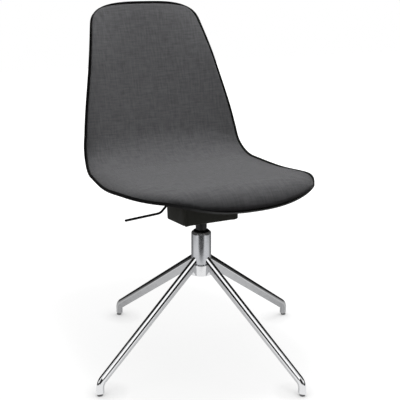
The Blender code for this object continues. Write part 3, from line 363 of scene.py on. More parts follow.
def fabric_finish():
    """A plain weave with streaks of thicker yarn, and shade painted in near its tucked edge."""
    tree, shader = new_finish("grey_fabric", {
        "Roughness": 0.92, "Specular IOR Level": 0.25, "Sheen Weight": 0.18, "Sheen Roughness": 0.55})
    cloth = put(tree, "ShaderNodeUVMap", uv_map="cloth").outputs[0]
    sides = put(tree, "ShaderNodeSeparateXYZ", {0: cloth}).outputs
    crossing = reckon(tree, "MULTIPLY", threads_across(tree, sides["X"]), threads_across(tree, sides["Y"]))
    pillow = reckon(tree, "ABSOLUTE", crossing)
    weft = streaks(tree, cloth, STREAK_LENGTH, STREAK_WIDTH)
    warp = streaks(tree, cloth, STREAK_WIDTH, STREAK_LENGTH)
    patch = streaks(tree, cloth, PATCH_SIZE, PATCH_SIZE)
    mean = reckon(tree, "MULTIPLY", reckon(tree, "ADD", weft, warp), 0.5)
    slub = ranged(tree, mean, STREAK_RANGE)
    uneven = between(tree, PATCH_SHARE, slub, patch)
    shade = reckon(tree, "ADD", uneven, reckon(tree, "MULTIPLY", crossing, CROSSING_SHARE))
    height = between(tree, SLUB_HEIGHT_SHARE, pillow, slub)
    bump = put(tree, "ShaderNodeBump", {"Height": height, "Strength": 0.6, "Distance": 0.0005})
    # Painted shade: the mark darkens the woven colour where the fabric is tucked in at the rim.
    painted_tuck_shade = put(tree, "ShaderNodeAttribute", attribute_name="painted_tuck_shade").outputs["Fac"]
    woven = tinted(tree, shade, YARN_DARK, YARN_LIGHT)
    shaded = tinted(tree, reckon(tree, "MULTIPLY", painted_tuck_shade, TUCK_PAINTED_SHADE), woven, YARN_IN_PAINTED_SHADE)
    tree.links.new(shaded, shader.inputs["Base Color"])
    tree.links.new(bump.outputs[0], shader.inputs["Normal"])


fabric_finish()
print("woven fabric ready")

# %% [markdown]
# ## From mesh to piece
# Each modelled piece goes the same last way. It is shaded smooth with its hard edges kept, takes its
# finish and its body from the solids that it stands for, and hides them. One function does this, so that
# no piece is left riding on nothing. The other helpers are a lathe, a soft edge and a way to join two
# meshes.

# %% From mesh to piece
HARD_EDGE = math.radians(40.0)


def chair_piece(name, bm, *nodes):
    """A finished bmesh becomes a piece that stands for CAD nodes, with the last one's body and slot."""
    mesh = bpy.data.meshes.new(name)
    bm.to_mesh(mesh)
    bm.free()
    mesh.shade_smooth()
    mesh.set_sharp_from_angle(angle=HARD_EDGE)
    made = bpy.data.objects.new(name, mesh)
    bpy.context.scene.collection.objects.link(made)
    slot = NODE_SLOTS[nodes[-1]]
    mesh.materials.append(FINISHES[slot])
    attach(made, NODE_BODIES[nodes[-1]])
    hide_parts(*nodes)
    print(name, "has", len(mesh.polygons), "faces and stands for", ", ".join(nodes))
    return made


print("edges over", round(math.degrees(HARD_EDGE)), "degrees stay hard")

# %% Mesh helpers
SOFT_SEGMENTS = 3
LATHE_STEPS = 72
MERGE = 1e-6
TO_AXIS = Matrix.Translation(AXIS)


def turned(profile, steps=LATHE_STEPS):
    """Spin an outline of (radius, height) points about Z; both ends may lie on the axis."""
    bm = bmesh.new()
    points = [bm.verts.new((radius, 0.0, height)) for radius, height in profile]
    edges = [bm.edges.new(pair) for pair in zip(points, points[1:])]
    if profile[0][0] > 0.0:
        edges.append(bm.edges.new((points[-1], points[0])))
    bmesh.ops.spin(bm, geom=points + edges, axis=UP, cent=(0.0, 0.0, 0.0), angle=math.tau, steps=steps,
                   use_merge=True)
    bmesh.ops.remove_doubles(bm, verts=bm.verts[:], dist=MERGE)
    bmesh.ops.recalc_face_normals(bm, faces=bm.faces[:])
    return bm


def bevel(bm, edges, width, segments):
    """Round some edges."""
    bmesh.ops.bevel(bm, geom=edges, offset=width, offset_type="OFFSET", segments=segments, profile=0.5,
                    affect="EDGES", clamp_overlap=True, material=-1)


def soften(bm, width):
    """Round the hard edges."""
    hard = [edge for edge in bm.edges if edge.is_manifold and edge.calc_face_angle() > HARD_EDGE]
    bevel(bm, hard, width, SOFT_SEGMENTS)
    return bm


def moved(bm, matrix):
    """Move every point."""
    bmesh.ops.transform(bm, matrix=matrix, verts=bm.verts[:])
    return bm


def joined(bm, other):
    """Add another bmesh to this one."""
    carrier = bpy.data.meshes.new("carrier")
    other.to_mesh(carrier)
    other.free()
    bm.from_mesh(carrier)
    bpy.data.meshes.remove(carrier)
    return bm


print("mesh helpers ready")

# %% [markdown]
# ## The shell's surface
# Seat and back are one moulded sheet. It could be sculpted, but a sheet with a clear rule is easier to
# keep exact. Its middle line is a front lip, a straight seat, a hip bend and a back, each with a length
# and a bend. Across it, the edges rise towards the sides, and the width changes smoothly between a few
# stations.

# %% Sizes of the shell
SEAT_TILT = math.radians(4.3)
SEAT_HEIGHT = 0.460
LIP_RADIUS = 0.073
LIP_ANGLE = math.radians(50.0)
SEAT_FRONT_LENGTH = 0.208
SEAT_REAR_LENGTH = 0.1486
HIP_RADIUS = 0.118
BACK_ANGLE = math.radians(75.5)
BACK_LENGTH = 0.3466
BACK_TURN = math.radians(2.0)
WIDEST = 0.2447

LIP_LENGTH = LIP_RADIUS * (LIP_ANGLE + SEAT_TILT)
HIP_LENGTH = HIP_RADIUS * (BACK_ANGLE + SEAT_TILT)
AXIS_STATION = LIP_LENGTH + SEAT_FRONT_LENGTH
HIP_STATION = AXIS_STATION + SEAT_REAR_LENGTH
BACK_STATION = HIP_STATION + HIP_LENGTH
TOP_STATION = BACK_STATION + BACK_LENGTH
RUNS = (
    (LIP_LENGTH, -1.0 / LIP_RADIUS),
    (SEAT_FRONT_LENGTH + SEAT_REAR_LENGTH, 0.0),
    (HIP_LENGTH, 1.0 / HIP_RADIUS),
    (BACK_LENGTH, BACK_TURN / BACK_LENGTH),
)
STATIONS = (
    0.0, LIP_LENGTH, LIP_LENGTH + SEAT_FRONT_LENGTH / 2, AXIS_STATION, HIP_STATION,
    HIP_STATION + HIP_LENGTH / 2, BACK_STATION, BACK_STATION + BACK_LENGTH / 2, TOP_STATION,
)
NARROWER = (0.0322, 0.0322, 0.0042, 0.0, 0.0094, 0.0190, 0.0274, 0.0615, 0.0995)
HALF_WIDTHS = tuple(WIDEST - narrower for narrower in NARROWER)
EDGE_RISES = (-0.0020, -0.0020, 0.0036, 0.0012, 0.0143, 0.0286, 0.0450, 0.0365, -0.0045)
print("middle line is", round(TOP_STATION, 3), "m long")

# %% Smooth values along the shell
def eased(values, at):
    """A smooth value between the stations, without overshoot."""
    at = min(max(at, STATIONS[0]), STATIONS[-1])
    slopes = [(b - a) / (t - s) for a, b, s, t in zip(values, values[1:], STATIONS, STATIONS[1:])]
    knots = [slopes[0]]
    for before, after in zip(slopes, slopes[1:]):
        knots.append(2 * before * after / (before + after) if before * after > 0.0 else 0.0)
    knots.append(slopes[-1])
    i = 0
    while i < len(slopes) - 1 and at > STATIONS[i + 1]:
        i += 1
    span = STATIONS[i + 1] - STATIONS[i]
    t = (at - STATIONS[i]) / span
    return (
        values[i] * (1 + 2 * t) * (1 - t) ** 2 + span * knots[i] * t * (1 - t) ** 2
        + values[i + 1] * t * t * (3 - 2 * t) + span * knots[i + 1] * t * t * (t - 1)
    )


print("half width over the column is", eased(HALF_WIDTHS, AXIS_STATION), "m")

# %% Points of the shell
PROBE = 0.0005


def along_runs(station):
    """Place and heading on the middle line, with the front edge at zero."""
    y = z = 0.0
    heading = LIP_ANGLE
    left = station
    for number, (length, bend) in enumerate(RUNS, start=1):
        step = left if number == len(RUNS) else min(left, length)
        if bend == 0.0:
            y += step * math.cos(heading)
            z += step * math.sin(heading)
        else:
            new_heading = heading + step * bend
            y += (math.sin(new_heading) - math.sin(heading)) / bend
            z -= (math.cos(new_heading) - math.cos(heading)) / bend
            heading = new_heading
        left -= step
    return y, z, heading


AXIS_Y, AXIS_Z, _ = along_runs(AXIS_STATION)


def shell_point(x, station):
    """A point of the shell's upper face, from its distance across and along."""
    y, z, heading = along_runs(station)
    rise = eased(EDGE_RISES, station) * (x / eased(HALF_WIDTHS, station)) ** 2
    local = (x, y - AXIS_Y - math.sin(heading) * rise, z - AXIS_Z + SEAT_HEIGHT + math.cos(heading) * rise)
    return AXIS + Vector(local)


def shell_normal(x, station):
    """The direction straight out of the shell's upper face."""
    across = shell_point(x + PROBE, station) - shell_point(x - PROBE, station)
    along = shell_point(x, station + PROBE) - shell_point(x, station - PROBE)
    return across.cross(along).normalized()


print("shell over the column at", tuple(round(v, 4) for v in shell_point(0.0, AXIS_STATION)))

# %% [markdown]
# ## Laying a grid over the shell
# The sheet's front and top have rounded corners. A grid with four corners fits them if its own corners
# lie in the middle of the rounded ones, and its end rows bulge out between them. The same grid serves the
# shell and the pad on it, with the pad's edge drawn in from the rim, so that the black rim shows all
# round.

# %% Rounded corners of the shell
FRONT_CORNER_LENGTH = 0.144
FRONT_CORNER_POWER = 2.40
TOP_CORNER_LENGTH = 0.060
TOP_CORNER_POWER = 3.0


def corner_share(power):
    """How far out the middle of a rounded corner lies, as a share of its sides."""
    return 0.5 ** (1.0 / power)


FRONT_CORNER = FRONT_CORNER_LENGTH * (1 - corner_share(FRONT_CORNER_POWER))
TOP_CORNER = TOP_STATION - TOP_CORNER_LENGTH * (1 - corner_share(TOP_CORNER_POWER))


def rounded(distance, length, power):
    """Share of the full width at a distance from an end whose corners are rounded."""
    short = max(0.0, 1.0 - distance / length)
    return (1.0 - short ** power) ** (1.0 / power)


def half_width(station):
    """Half the width at a station, with the corners of both ends rounded."""
    front = rounded(station, FRONT_CORNER_LENGTH, FRONT_CORNER_POWER)
    top = rounded(TOP_STATION - station, TOP_CORNER_LENGTH, TOP_CORNER_POWER)
    return eased(HALF_WIDTHS, station) * front * top


def end_bulge(share, length, power):
    """How far a rounded end reaches past its corners, at a share of their distance from the middle."""
    middle = corner_share(power)
    return length * ((1.0 - (abs(share) * middle) ** power) ** (1.0 / power) - middle)


print("grid corners at stations", round(FRONT_CORNER, 4), "and", round(TOP_CORNER, 4))

# %% Grid over the shell
def sheet_place(share, station):
    """Distance across and along of a grid point."""
    blend = (station - FRONT_CORNER) / (TOP_CORNER - FRONT_CORNER)
    front = end_bulge(share, FRONT_CORNER_LENGTH, FRONT_CORNER_POWER)
    top = end_bulge(share, TOP_CORNER_LENGTH, TOP_CORNER_POWER)
    return share * half_width(station), station - (1 - blend) * front + blend * top


def crowded(t, crowding):
    """A place from -1 to 1 whose neighbours draw together towards both ends."""
    return t * (1.0 + crowding * (1.0 - t * t))


def sheet_body(across, along, inset, crowding, back_offset, front_offset):
    """A closed body between two offsets of the shell's face, inside its rim, and its front points."""
    bm = bmesh.new()
    share_of = bm.verts.layers.float.new("share")
    station_of = bm.verts.layers.float.new("station")
    cloth_map = bm.loops.layers.uv.new("cloth")
    # a mark for the shade painted into the fabric near its tucked edge
    bm.verts.layers.float.new("painted_tuck_shade")
    bm.verts.layers.deform.verify()
    bmesh.ops.create_grid(bm, x_segments=across, y_segments=along, size=1.0)
    first, last = FRONT_CORNER + inset, TOP_CORNER - inset
    for vert in bm.verts:
        station = first + (last - first) * (crowded(vert.co.y, crowding) + 1.0) / 2
        vert[share_of] = (1.0 - inset / half_width(station)) * crowded(vert.co.x, crowding)
        vert[station_of] = station
    back = bm.verts[:]
    grown = bmesh.ops.extrude_face_region(bm, geom=bm.faces[:])["geom"]
    front = [item for item in grown if isinstance(item, bmesh.types.BMVert)]
    for verts, offset in ((back, back_offset), (front, front_offset)):
        for vert in verts:
            share, station = vert[share_of], vert[station_of]
            place = sheet_place(share, station)
            vert.co = shell_point(*place) + shell_normal(*place) * offset(share, station)
    bmesh.ops.recalc_face_normals(bm, faces=bm.faces[:])
    for face in bm.faces:
        for corner in face.loops:
            corner[cloth_map].uv = sheet_place(corner.vert[share_of], corner.vert[station_of])
    return bm, front


print("the grid's front edge reaches station", round(sheet_place(0.0, FRONT_CORNER)[1], 4))

# %% [markdown]
# ## The black shell
# The shell is injection moulded, with one wall thickness that thins towards a rounded rim, and the rim
# stands up round the pad. Solidify could thicken a sheet, but it keeps one thickness. So the body is
# grown between two offsets that know how near the rim is, its rim edges are bevelled, and four turned
# bosses join it where the threaded inserts sit. Away from the smooth rim, the points are marked with a
# coarser skin.

# %% The black shell
SHELL_WALL = 0.005
SHELL_CELLS = (80, 144)
SHELL_CROWDING = 0.15
RIM_RISE = 0.0045
RIM_WIDTH = 0.0045
RIM_TAPERS = (0.0022, 0.0020, 0.0010, 0.0008, 0.0008, 0.0008, 0.0008, 0.0008, 0.0008)
TAPER_WIDTH = 0.020
RIM_ROUND = 0.0018
RIM_SEGMENTS = 4
SKIN_SHARE = 0.40
SKIN_MARGIN = 0.014


def near_rim(share, station, width):
    """1 at the shell's rim, falling to 0 at a distance from it."""
    side = (1.0 - abs(share)) * half_width(station)
    end = min(station - FRONT_CORNER, TOP_CORNER - station)
    return max(0.0, 1.0 - min(side, end) / width)


def upper_face(share, station):
    """Only the rim stands up, round the pad."""
    return RIM_RISE * near_rim(share, station, RIM_WIDTH)


def lower_face(share, station):
    """One wall thickness, a little less towards the rim."""
    return eased(RIM_TAPERS, station) * near_rim(share, station, TAPER_WIDTH) - SHELL_WALL


shell, _ = sheet_body(*SHELL_CELLS, 0.0, SHELL_CROWDING, lower_face, upper_face)
skin = shell.verts.layers.float.new("coarse")
share_of, station_of = (shell.verts.layers.float[name] for name in ("share", "station"))
for vert in shell.verts:
    vert[skin] = SKIN_SHARE * (1.0 - near_rim(vert[share_of], vert[station_of], SKIN_MARGIN))
rim = [edge for edge in shell.edges if edge.calc_face_angle() > HARD_EDGE]
bevel(shell, rim, RIM_ROUND, RIM_SEGMENTS)
print("shell rim rounded along", len(rim), "edges")

# %% Bosses of the shell
BOSS_COUNT = 4
BOSS_RADIUS = 0.011
BOSS_LENGTH = 0.0194
BOSS_ROOT = 0.003
BOSS_STEPS = 32
INSERT_RADIUS = 0.0053
DECK = Matrix.Translation(AXIS + UP * SEAT_HEIGHT) @ Matrix.Rotation(-SEAT_TILT, 4, "X")


def node_middle(node):
    """The middle of a solid's box."""
    low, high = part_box(node)
    return (low + high) / 2


boss_top = BOSS_ROOT - SHELL_WALL
boss_low = -SHELL_WALL - BOSS_LENGTH
for number in range(1, BOSS_COUNT + 1):
    spot = DECK.inverted() @ node_middle(f"threaded_insert_{number}")
    boss = turned([
        (BOSS_RADIUS, boss_top), (BOSS_RADIUS, boss_low),
        (INSERT_RADIUS, boss_low), (INSERT_RADIUS, boss_top),
    ], BOSS_STEPS)
    joined(shell, moved(boss, DECK @ Matrix.Translation((spot.x, spot.y, 0.0))))
chair_piece("moulded_shell", shell, "seat_shell")

# %% [markdown]
# ## The upholstered pad
# Foam lies on the shell, rolled over at the front lip, falling to the sides and crowned in the middle,
# with a fabric pulled over it and tucked in at the rim. A smooth surface alone looks like plastic. So the
# pad is modelled a little too thin, its edge and underside are held, and a cloth simulation with some
# pressure lets the foam push the fabric out. The push is limited, because the fabric is glued down and
# never balloons. The limit is a soft one: a hard stop would leave a crease where the push reaches it.

# %% The upholstered pad
PAD_CELLS = (88, 160)
PAD_CROWDING = 0.35
PAD_RIM_INSET = 0.0055
PAD_EDGE = 0.0010
PAD_LIFT = 0.0003
PAD_ROLL_RADII = (0.045, 0.040, 0.024, 0.022, 0.020, 0.020, 0.018, 0.016, 0.016)
PAD_ROLL_HEIGHTS = (0.018, 0.014, 0.004, 0.002, 0.002, 0.0030, 0.004, 0.004, 0.004)
PAD_FALLS = (0.000, 0.003, 0.008, 0.008, 0.005, 0.002, 0.000, 0.000, 0.000)
FALL_WIDTH = 0.055
PAD_CROWNS = (0.010, 0.011, 0.009, 0.009, 0.009, 0.008, 0.006, 0.005, 0.005)
LEAST_DISTANCE = 0.0003


def inside_edge(share, station):
    """Distance from the pad's edge, with the corners rounded."""
    side = max(0.0, (1.0 - abs(share)) * half_width(station) - PAD_RIM_INSET)
    end = max(0.0, min(station - FRONT_CORNER, TOP_CORNER - station) - PAD_RIM_INSET)
    return side * end / max(math.hypot(side, end), LEAST_DISTANCE)


def pad_underside(share, station):
    """The pad lies on the shell."""
    return PAD_LIFT


def pad_height(share, station):
    """Height of the fabric over the shell: rolled at the edge, falling to the sides, crowned."""
    inside = inside_edge(share, station)
    near = min(1.0, inside / eased(PAD_ROLL_RADII, station))
    roll = eased(PAD_ROLL_HEIGHTS, station) * math.sqrt(1.0 - (1.0 - near) ** 2)
    beside = min(1.0, inside / FALL_WIDTH)
    roll += eased(PAD_FALLS, station) * (1.0 - (1.0 - beside) ** 2)
    length = abs(2.0 * station / TOP_STATION - 1.0)
    crown = eased(PAD_CROWNS, station) * (1.0 - share ** 2) * (1.0 - length ** 4)
    return PAD_LIFT + PAD_EDGE + roll + crown


pad_bm, pad_front = sheet_body(*PAD_CELLS, PAD_RIM_INSET, PAD_CROWDING, pad_underside, pad_height)
print("pad grid of", len(pad_bm.verts), "points")

# %% Held edge and painted shade near the rim
# Painted shade fades over this distance from the pad's edge, more strongly round the seat.
PAINTED_SHADE_WIDTH = 0.055
PAINTED_SHADE_SHARES = (1.0, 1.0, 1.0, 0.9, 0.55, 0.35, 0.25, 0.2, 0.2)
LOOSE_FACING = 0.5


def painted_shade_share(share, station):
    """How much shade is painted into the fabric near its tucked edge: most at the edge, more round the seat."""
    near = min(1.0, inside_edge(share, station) / PAINTED_SHADE_WIDTH)
    return eased(PAINTED_SHADE_SHARES, station) * (1.0 - near) ** 2


def is_loose(vert):
    """A point of the open fabric, whose faces all look its own way."""
    return all(face.normal.dot(vert.normal) > LOOSE_FACING for face in vert.link_faces)


weights = pad_bm.verts.layers.deform.verify()
painted_tuck_shade = pad_bm.verts.layers.float["painted_tuck_shade"]
share_of, station_of = (pad_bm.verts.layers.float[name] for name in ("share", "station"))
loose = {vert for vert in pad_front if is_loose(vert)}
free_points = len(loose)
for vert in pad_bm.verts:
    vert[weights][0] = 0.0 if vert in loose else 1.0
    # the shade painted near the tucked edge is kept at each point
    vert[painted_tuck_shade] = painted_shade_share(vert[share_of], vert[station_of])
pad = chair_piece("upholstered_pad", pad_bm, "foam_pad", "fabric_cover")
pad.vertex_groups.new(name="held")
print(free_points, "points of the fabric are free to swell")

# %% Foam pressure
PRESSURE = 3.0
SWELL_FRAMES = 20
SWELL_LIMIT = 0.0016


def swell(piece):
    """Push the fabric out with a short cloth simulation, and keep the limited result in the mesh."""
    cloth = piece.modifiers.new("foam_pressure", "CLOTH")
    cloth.settings.vertex_group_mass = "held"
    cloth.settings.use_pressure = True
    cloth.settings.uniform_pressure_force = PRESSURE
    cloth.settings.effector_weights.gravity = 0.0
    cloth.collision_settings.use_collision = False
    cloth.point_cache.frame_start = 1
    cloth.point_cache.frame_end = SWELL_FRAMES
    scene = bpy.context.scene
    for number in range(1, SWELL_FRAMES + 1):
        scene.frame_set(number)
    swollen = piece.evaluated_get(bpy.context.evaluated_depsgraph_get())
    pushes = [new.co - old.co for new, old in zip(swollen.data.vertices, piece.data.vertices)]
    piece.modifiers.remove(cloth)
    for vert, push in zip(piece.data.vertices, pushes):
        vert.co += push * SWELL_LIMIT / (SWELL_LIMIT + push.length)
    scene.frame_set(1)
    reach = [push.length for push in pushes]
    print("fabric pushed out by", round(max(reach) * 1000, 2), "mm at most before the limit,",
          round(sum(reach) / free_points * 1000, 2), "mm on average")


swell(pad)

# %% [markdown]
# ## A leg
# Each leg is a casting. A round ridge runs along its top, with a straight flank and a steeper cheek on
# either side, and below these the sides run in to a narrow keel. It bends down into a foot. A box bent
# with a modifier would keep one section all the way, but the real section changes from a keel to a block.
# So rings of points are set along the leg and bridged, and the ring's top points carry the polish.

# %% Slope of the legs
COLUMN_RADIUS = 0.025
LEG_TOP_HEIGHT = 0.2642
FOOT_DEPTH = 0.019
FOOT_BEND_RADIUS = 0.034
FOOT_BEND_HEIGHT = 0.0198
LEG_COUNT = 4
SLOPE_ROUNDS = 40

GLIDES = [node_middle(f"glide_{number}") - AXIS for number in range(1, LEG_COUNT + 1)]
FOOT_FACE = GLIDES[0].to_2d().length + FOOT_DEPTH / 2


def leg_slope():
    """Downward angle of the leg's top line, from the column to where the foot's bend begins."""
    slope = 0.0
    for _ in range(SLOPE_ROUNDS):
        reach = FOOT_FACE - FOOT_BEND_RADIUS * (1 - math.sin(slope)) - COLUMN_RADIUS
        drop = LEG_TOP_HEIGHT - FOOT_BEND_HEIGHT - FOOT_BEND_RADIUS * math.cos(slope)
        slope = math.atan2(drop, reach)
    return slope


SLOPE = leg_slope()
print("legs slope down by", round(math.degrees(SLOPE), 1), "degrees to a foot face at", round(FOOT_FACE, 4))

# %% A leg's section
LEG_HALF_WIDTH = 0.0079
RIDGE_RADIUS = 0.0048
RIDGE_STEPS = 5
FLANK_ANGLE = math.radians(57.0)
FLANK_LENGTH = 0.0030
CHEEK_ANGLE = math.radians(72.0)
CHEEK_LENGTH = 0.0020
CHEEK_STEPS = 4
POLISH_BORDER = 0.0004
KEEL_ROUND = 0.002
KEEL_STEPS = 3
LEG_KEEL = 0.0045
ROOT_DEPTH = 0.030


def on_circle(centre, radius, angle):
    """A point of a circle."""
    return centre[0] + radius * math.cos(angle), centre[1] + radius * math.sin(angle)


def half_crown():
    """Points (side, up) from the ridge down one side: a round ridge, a flank and a steeper cheek."""
    flats = FLANK_LENGTH * math.cos(FLANK_ANGLE) + CHEEK_LENGTH * math.cos(CHEEK_ANGLE)
    reach = LEG_HALF_WIDTH - RIDGE_RADIUS * math.sin(FLANK_ANGLE) - flats
    cheek_radius = reach / (1.0 - math.sin(FLANK_ANGLE))
    points = [(0.0, 0.0)]
    for start, end, radius, steps, flat in (
        (0.0, FLANK_ANGLE, RIDGE_RADIUS, RIDGE_STEPS, FLANK_LENGTH),
        (FLANK_ANGLE, CHEEK_ANGLE, cheek_radius, CHEEK_STEPS, CHEEK_LENGTH),
        (CHEEK_ANGLE, math.pi / 2, cheek_radius, CHEEK_STEPS, 0.0),
    ):
        centre = (points[-1][0] - radius * math.sin(start), points[-1][1] - radius * math.cos(start))
        for i in range(1, steps + 1):
            angle = start + (end - start) * i / steps
            points.append((centre[0] + radius * math.sin(angle), centre[1] + radius * math.cos(angle)))
        if flat:
            points.append((points[-1][0] + flat * math.cos(end), points[-1][1] - flat * math.sin(end)))
    return points


CROWN = half_crown()
CHEEK_FOOT = CROWN[-1][1]


def leg_outline(depth, keel):
    """Points (side, up, polish) round one section: right cheek, ridge, left cheek and keel."""
    points = [(side, up, 1.0) for side, up in reversed(CROWN)]
    points += [(-side, up, 1.0) for side, up in CROWN[1:]]
    corner = min(KEEL_ROUND, keel / 2)
    points.append((-LEG_HALF_WIDTH, CHEEK_FOOT - POLISH_BORDER, 0.0))
    for side, start in ((-1, math.pi), (1, 1.5 * math.pi)):
        for i in range(KEEL_STEPS + 1):
            centre = (side * (keel / 2 - corner), corner - depth)
            points.append((*on_circle(centre, corner, start + math.pi / 2 * i / KEEL_STEPS), 0.0))
    points.append((LEG_HALF_WIDTH, CHEEK_FOOT - POLISH_BORDER, 0.0))
    return points


print(len(leg_outline(ROOT_DEPTH, LEG_KEEL)), "points in a section")

# %% Stations along a leg
BEND_DEPTH = 0.0245
FOOT_KEEL = 0.012
FOOT_SOLE = 0.0053
BEND_STEPS = 14
STRAIGHT_STEPS = 6


def leg_stations():
    """Origin on the top line, its outward direction, depth and keel, from the root to the sole."""
    start = (COLUMN_RADIUS / 2, LEG_TOP_HEIGHT + COLUMN_RADIUS / 2 * math.tan(SLOPE))
    centre = (FOOT_FACE - FOOT_BEND_RADIUS, FOOT_BEND_HEIGHT)
    opening = math.pi / 2 - SLOPE
    bend = [opening * (1 - i / BEND_STEPS) for i in range(BEND_STEPS + 1)]
    arc = [on_circle(centre, FOOT_BEND_RADIUS, angle) for angle in bend]
    stations = []
    for i in range(STRAIGHT_STEPS):
        share = i / STRAIGHT_STEPS
        place = tuple(a + (b - a) * share for a, b in zip(start, arc[0]))
        stations.append((place, opening, ROOT_DEPTH + (BEND_DEPTH - ROOT_DEPTH) * share, LEG_KEEL))
    for i, (place, angle) in enumerate(zip(arc, bend)):
        share = i / BEND_STEPS
        depth = BEND_DEPTH + (FOOT_DEPTH - BEND_DEPTH) * share
        stations.append((place, angle, depth, LEG_KEEL + (FOOT_KEEL - LEG_KEEL) * share))
    stations.append(((FOOT_FACE, FOOT_SOLE), 0.0, FOOT_DEPTH, FOOT_KEEL))
    return stations


print(len(leg_stations()), "sections along a leg")

# %% Bridge the sections
ROOT_CUT = 0.0238
SOLE_EDGE = 0.0012
SOLE_SEGMENTS = 2


def bridged(bm, rings):
    """Bridge rings of points one after the other, and close both ends."""
    loops = [[bm.edges.new(pair) for pair in zip(ring, ring[1:] + ring[:1])] for ring in rings]
    for before, after in zip(loops, loops[1:]):
        bmesh.ops.bridge_loops(bm, edges=before + after)
    bmesh.ops.edgeloop_fill(bm, edges=loops[0])
    bmesh.ops.edgeloop_fill(bm, edges=loops[-1])
    bmesh.ops.recalc_face_normals(bm, faces=bm.faces[:])
    return loops


def leg_body():
    """A leg along +X from the column's wall to its foot."""
    bm = bmesh.new()
    polish_of = bm.verts.layers.float.new("polish")
    rings = []
    for (x, z), angle, depth, keel in leg_stations():
        ring = []
        for side, up, polish in leg_outline(depth, keel):
            vert = bm.verts.new((x + up * math.cos(angle), side, z + up * math.sin(angle)))
            vert[polish_of] = polish
            ring.append(vert)
        rings.append(ring)
    loops = bridged(bm, rings)
    bevel(bm, loops[-1], SOLE_EDGE, SOLE_SEGMENTS)
    whole = bm.verts[:] + bm.edges[:] + bm.faces[:]
    cut = bmesh.ops.bisect_plane(bm, geom=whole, plane_co=(ROOT_CUT, 0.0, 0.0),
                                 plane_no=(1.0, 0.0, 0.0), clear_inner=True)["geom_cut"]
    bmesh.ops.edgeloop_fill(bm, edges=[item for item in cut if isinstance(item, bmesh.types.BMEdge)])
    return bm


for number, foot in enumerate(GLIDES, start=1):
    turn = Matrix.Rotation(math.atan2(foot.y, foot.x), 4, "Z")
    chair_piece(f"cast_leg_{number}", moved(leg_body(), TO_AXIS @ turn), f"leg_{number}")

# %% [markdown]
# ## Turned pieces of the base
# Hub ring, column, collar, gas-spring tube and glides are all round, and on the real chair they come off
# a lathe or out of a round mould. A cylinder has only sharp edges and one radius. Spinning an outline
# gives the rolled lip of the column, the taper at its foot and the soft edges in one go. A mirror shows
# every bend of its normals, so extra loops keep the straight walls straight, and the lip's points are
# marked as brushed.

# %% Hub ring
HUB_RADIUS = 0.029
HUB_LOW = 0.216
HUB_TOP = 0.245
HUB_LOOP = 0.0022
HUB_POLISH = 1.0
HUB_EDGE = 0.0010
COLUMN_FOOT_RADIUS = 0.0242
FIT = 0.0003

hub = turned([
    (HUB_RADIUS, HUB_TOP), (HUB_RADIUS, HUB_TOP - HUB_LOOP), (HUB_RADIUS, HUB_LOW + HUB_LOOP),
    (HUB_RADIUS, HUB_LOW), (COLUMN_FOOT_RADIUS + FIT, HUB_LOW), (COLUMN_RADIUS + FIT, HUB_TOP),
])
hub_polish = hub.verts.layers.float.new("polish")
for vert in hub.verts:
    vert[hub_polish] = HUB_POLISH
chair_piece("hub_ring", moved(soften(hub, HUB_EDGE), TO_AXIS), "base_hub")

# %% Chromed column
COLUMN_TOP = 0.3279
COLUMN_WALL = 0.0018
COLUMN_STEPS = 96
LIP_ROUND = 0.005
LIP_STEPS = 8
LIP_LOOP = 0.002
BRUSHED_SHARE = 0.8
MOUTH_RADIUS = 0.0198
FLOOR_LOW = 0.2215
FLOOR_HIGH = 0.2245
ROD_HOLE = 0.0043


def quarter(centre, radius, start):
    """A quarter of a circle, clockwise from an angle."""
    turn = math.pi / 2 / LIP_STEPS
    return [on_circle(centre, radius, start - turn * i) for i in range(LIP_STEPS + 1)]


lip_low = COLUMN_TOP - LIP_ROUND
lip_centre = (COLUMN_RADIUS - LIP_ROUND, lip_low)
bore = COLUMN_RADIUS - COLUMN_WALL
foot_bore = COLUMN_FOOT_RADIUS - COLUMN_WALL
column = turned([(MOUTH_RADIUS, COLUMN_TOP)] + quarter(lip_centre, LIP_ROUND, math.pi / 2) + [
    (COLUMN_RADIUS, lip_low - LIP_LOOP), (COLUMN_RADIUS, HUB_TOP), (COLUMN_FOOT_RADIUS, HUB_LOW),
    (foot_bore, HUB_LOW), (foot_bore, FLOOR_LOW), (ROD_HOLE, FLOOR_LOW), (ROD_HOLE, FLOOR_HIGH),
    (foot_bore, FLOOR_HIGH), (bore, HUB_TOP), (bore, lip_low), (MOUTH_RADIUS, COLUMN_TOP - COLUMN_WALL),
], COLUMN_STEPS)
rubbed = column.verts.layers.float.new("rubbed")
for vert in column.verts:
    vert[rubbed] = 1.0 if vert.co.z > COLUMN_TOP - LIP_ROUND * BRUSHED_SHARE else 0.0
chair_piece("chromed_column", moved(column, TO_AXIS), "column_tube")

# %% Collar and gas-spring tube
TUBE_RADIUS = 0.014
TUBE_BORE = 0.0115
TUBE_CAP = 0.005
TUBE_EDGE = 0.0006
TAPER_HEIGHT = 0.046
TAPER_RADIUS = 0.0133
PIN_HOLE = 0.004
COLLAR_PROUD = 0.0026
BUSH_LENGTH = 0.070
BUSH_EDGE = 0.0007

collar_top = COLUMN_TOP + COLLAR_PROUD
bush_top = lip_low - FIT
bush_low = COLUMN_TOP - BUSH_LENGTH
neck = MOUTH_RADIUS - FIT
bush = turned([
    (neck, collar_top), (neck, bush_top), (bore - FIT, bush_top), (bore - FIT, bush_low),
    (TUBE_RADIUS + FIT, bush_low), (TUBE_RADIUS + FIT, collar_top),
])
chair_piece("collar_bush", moved(soften(bush, BUSH_EDGE), TO_AXIS), "guide_bush")

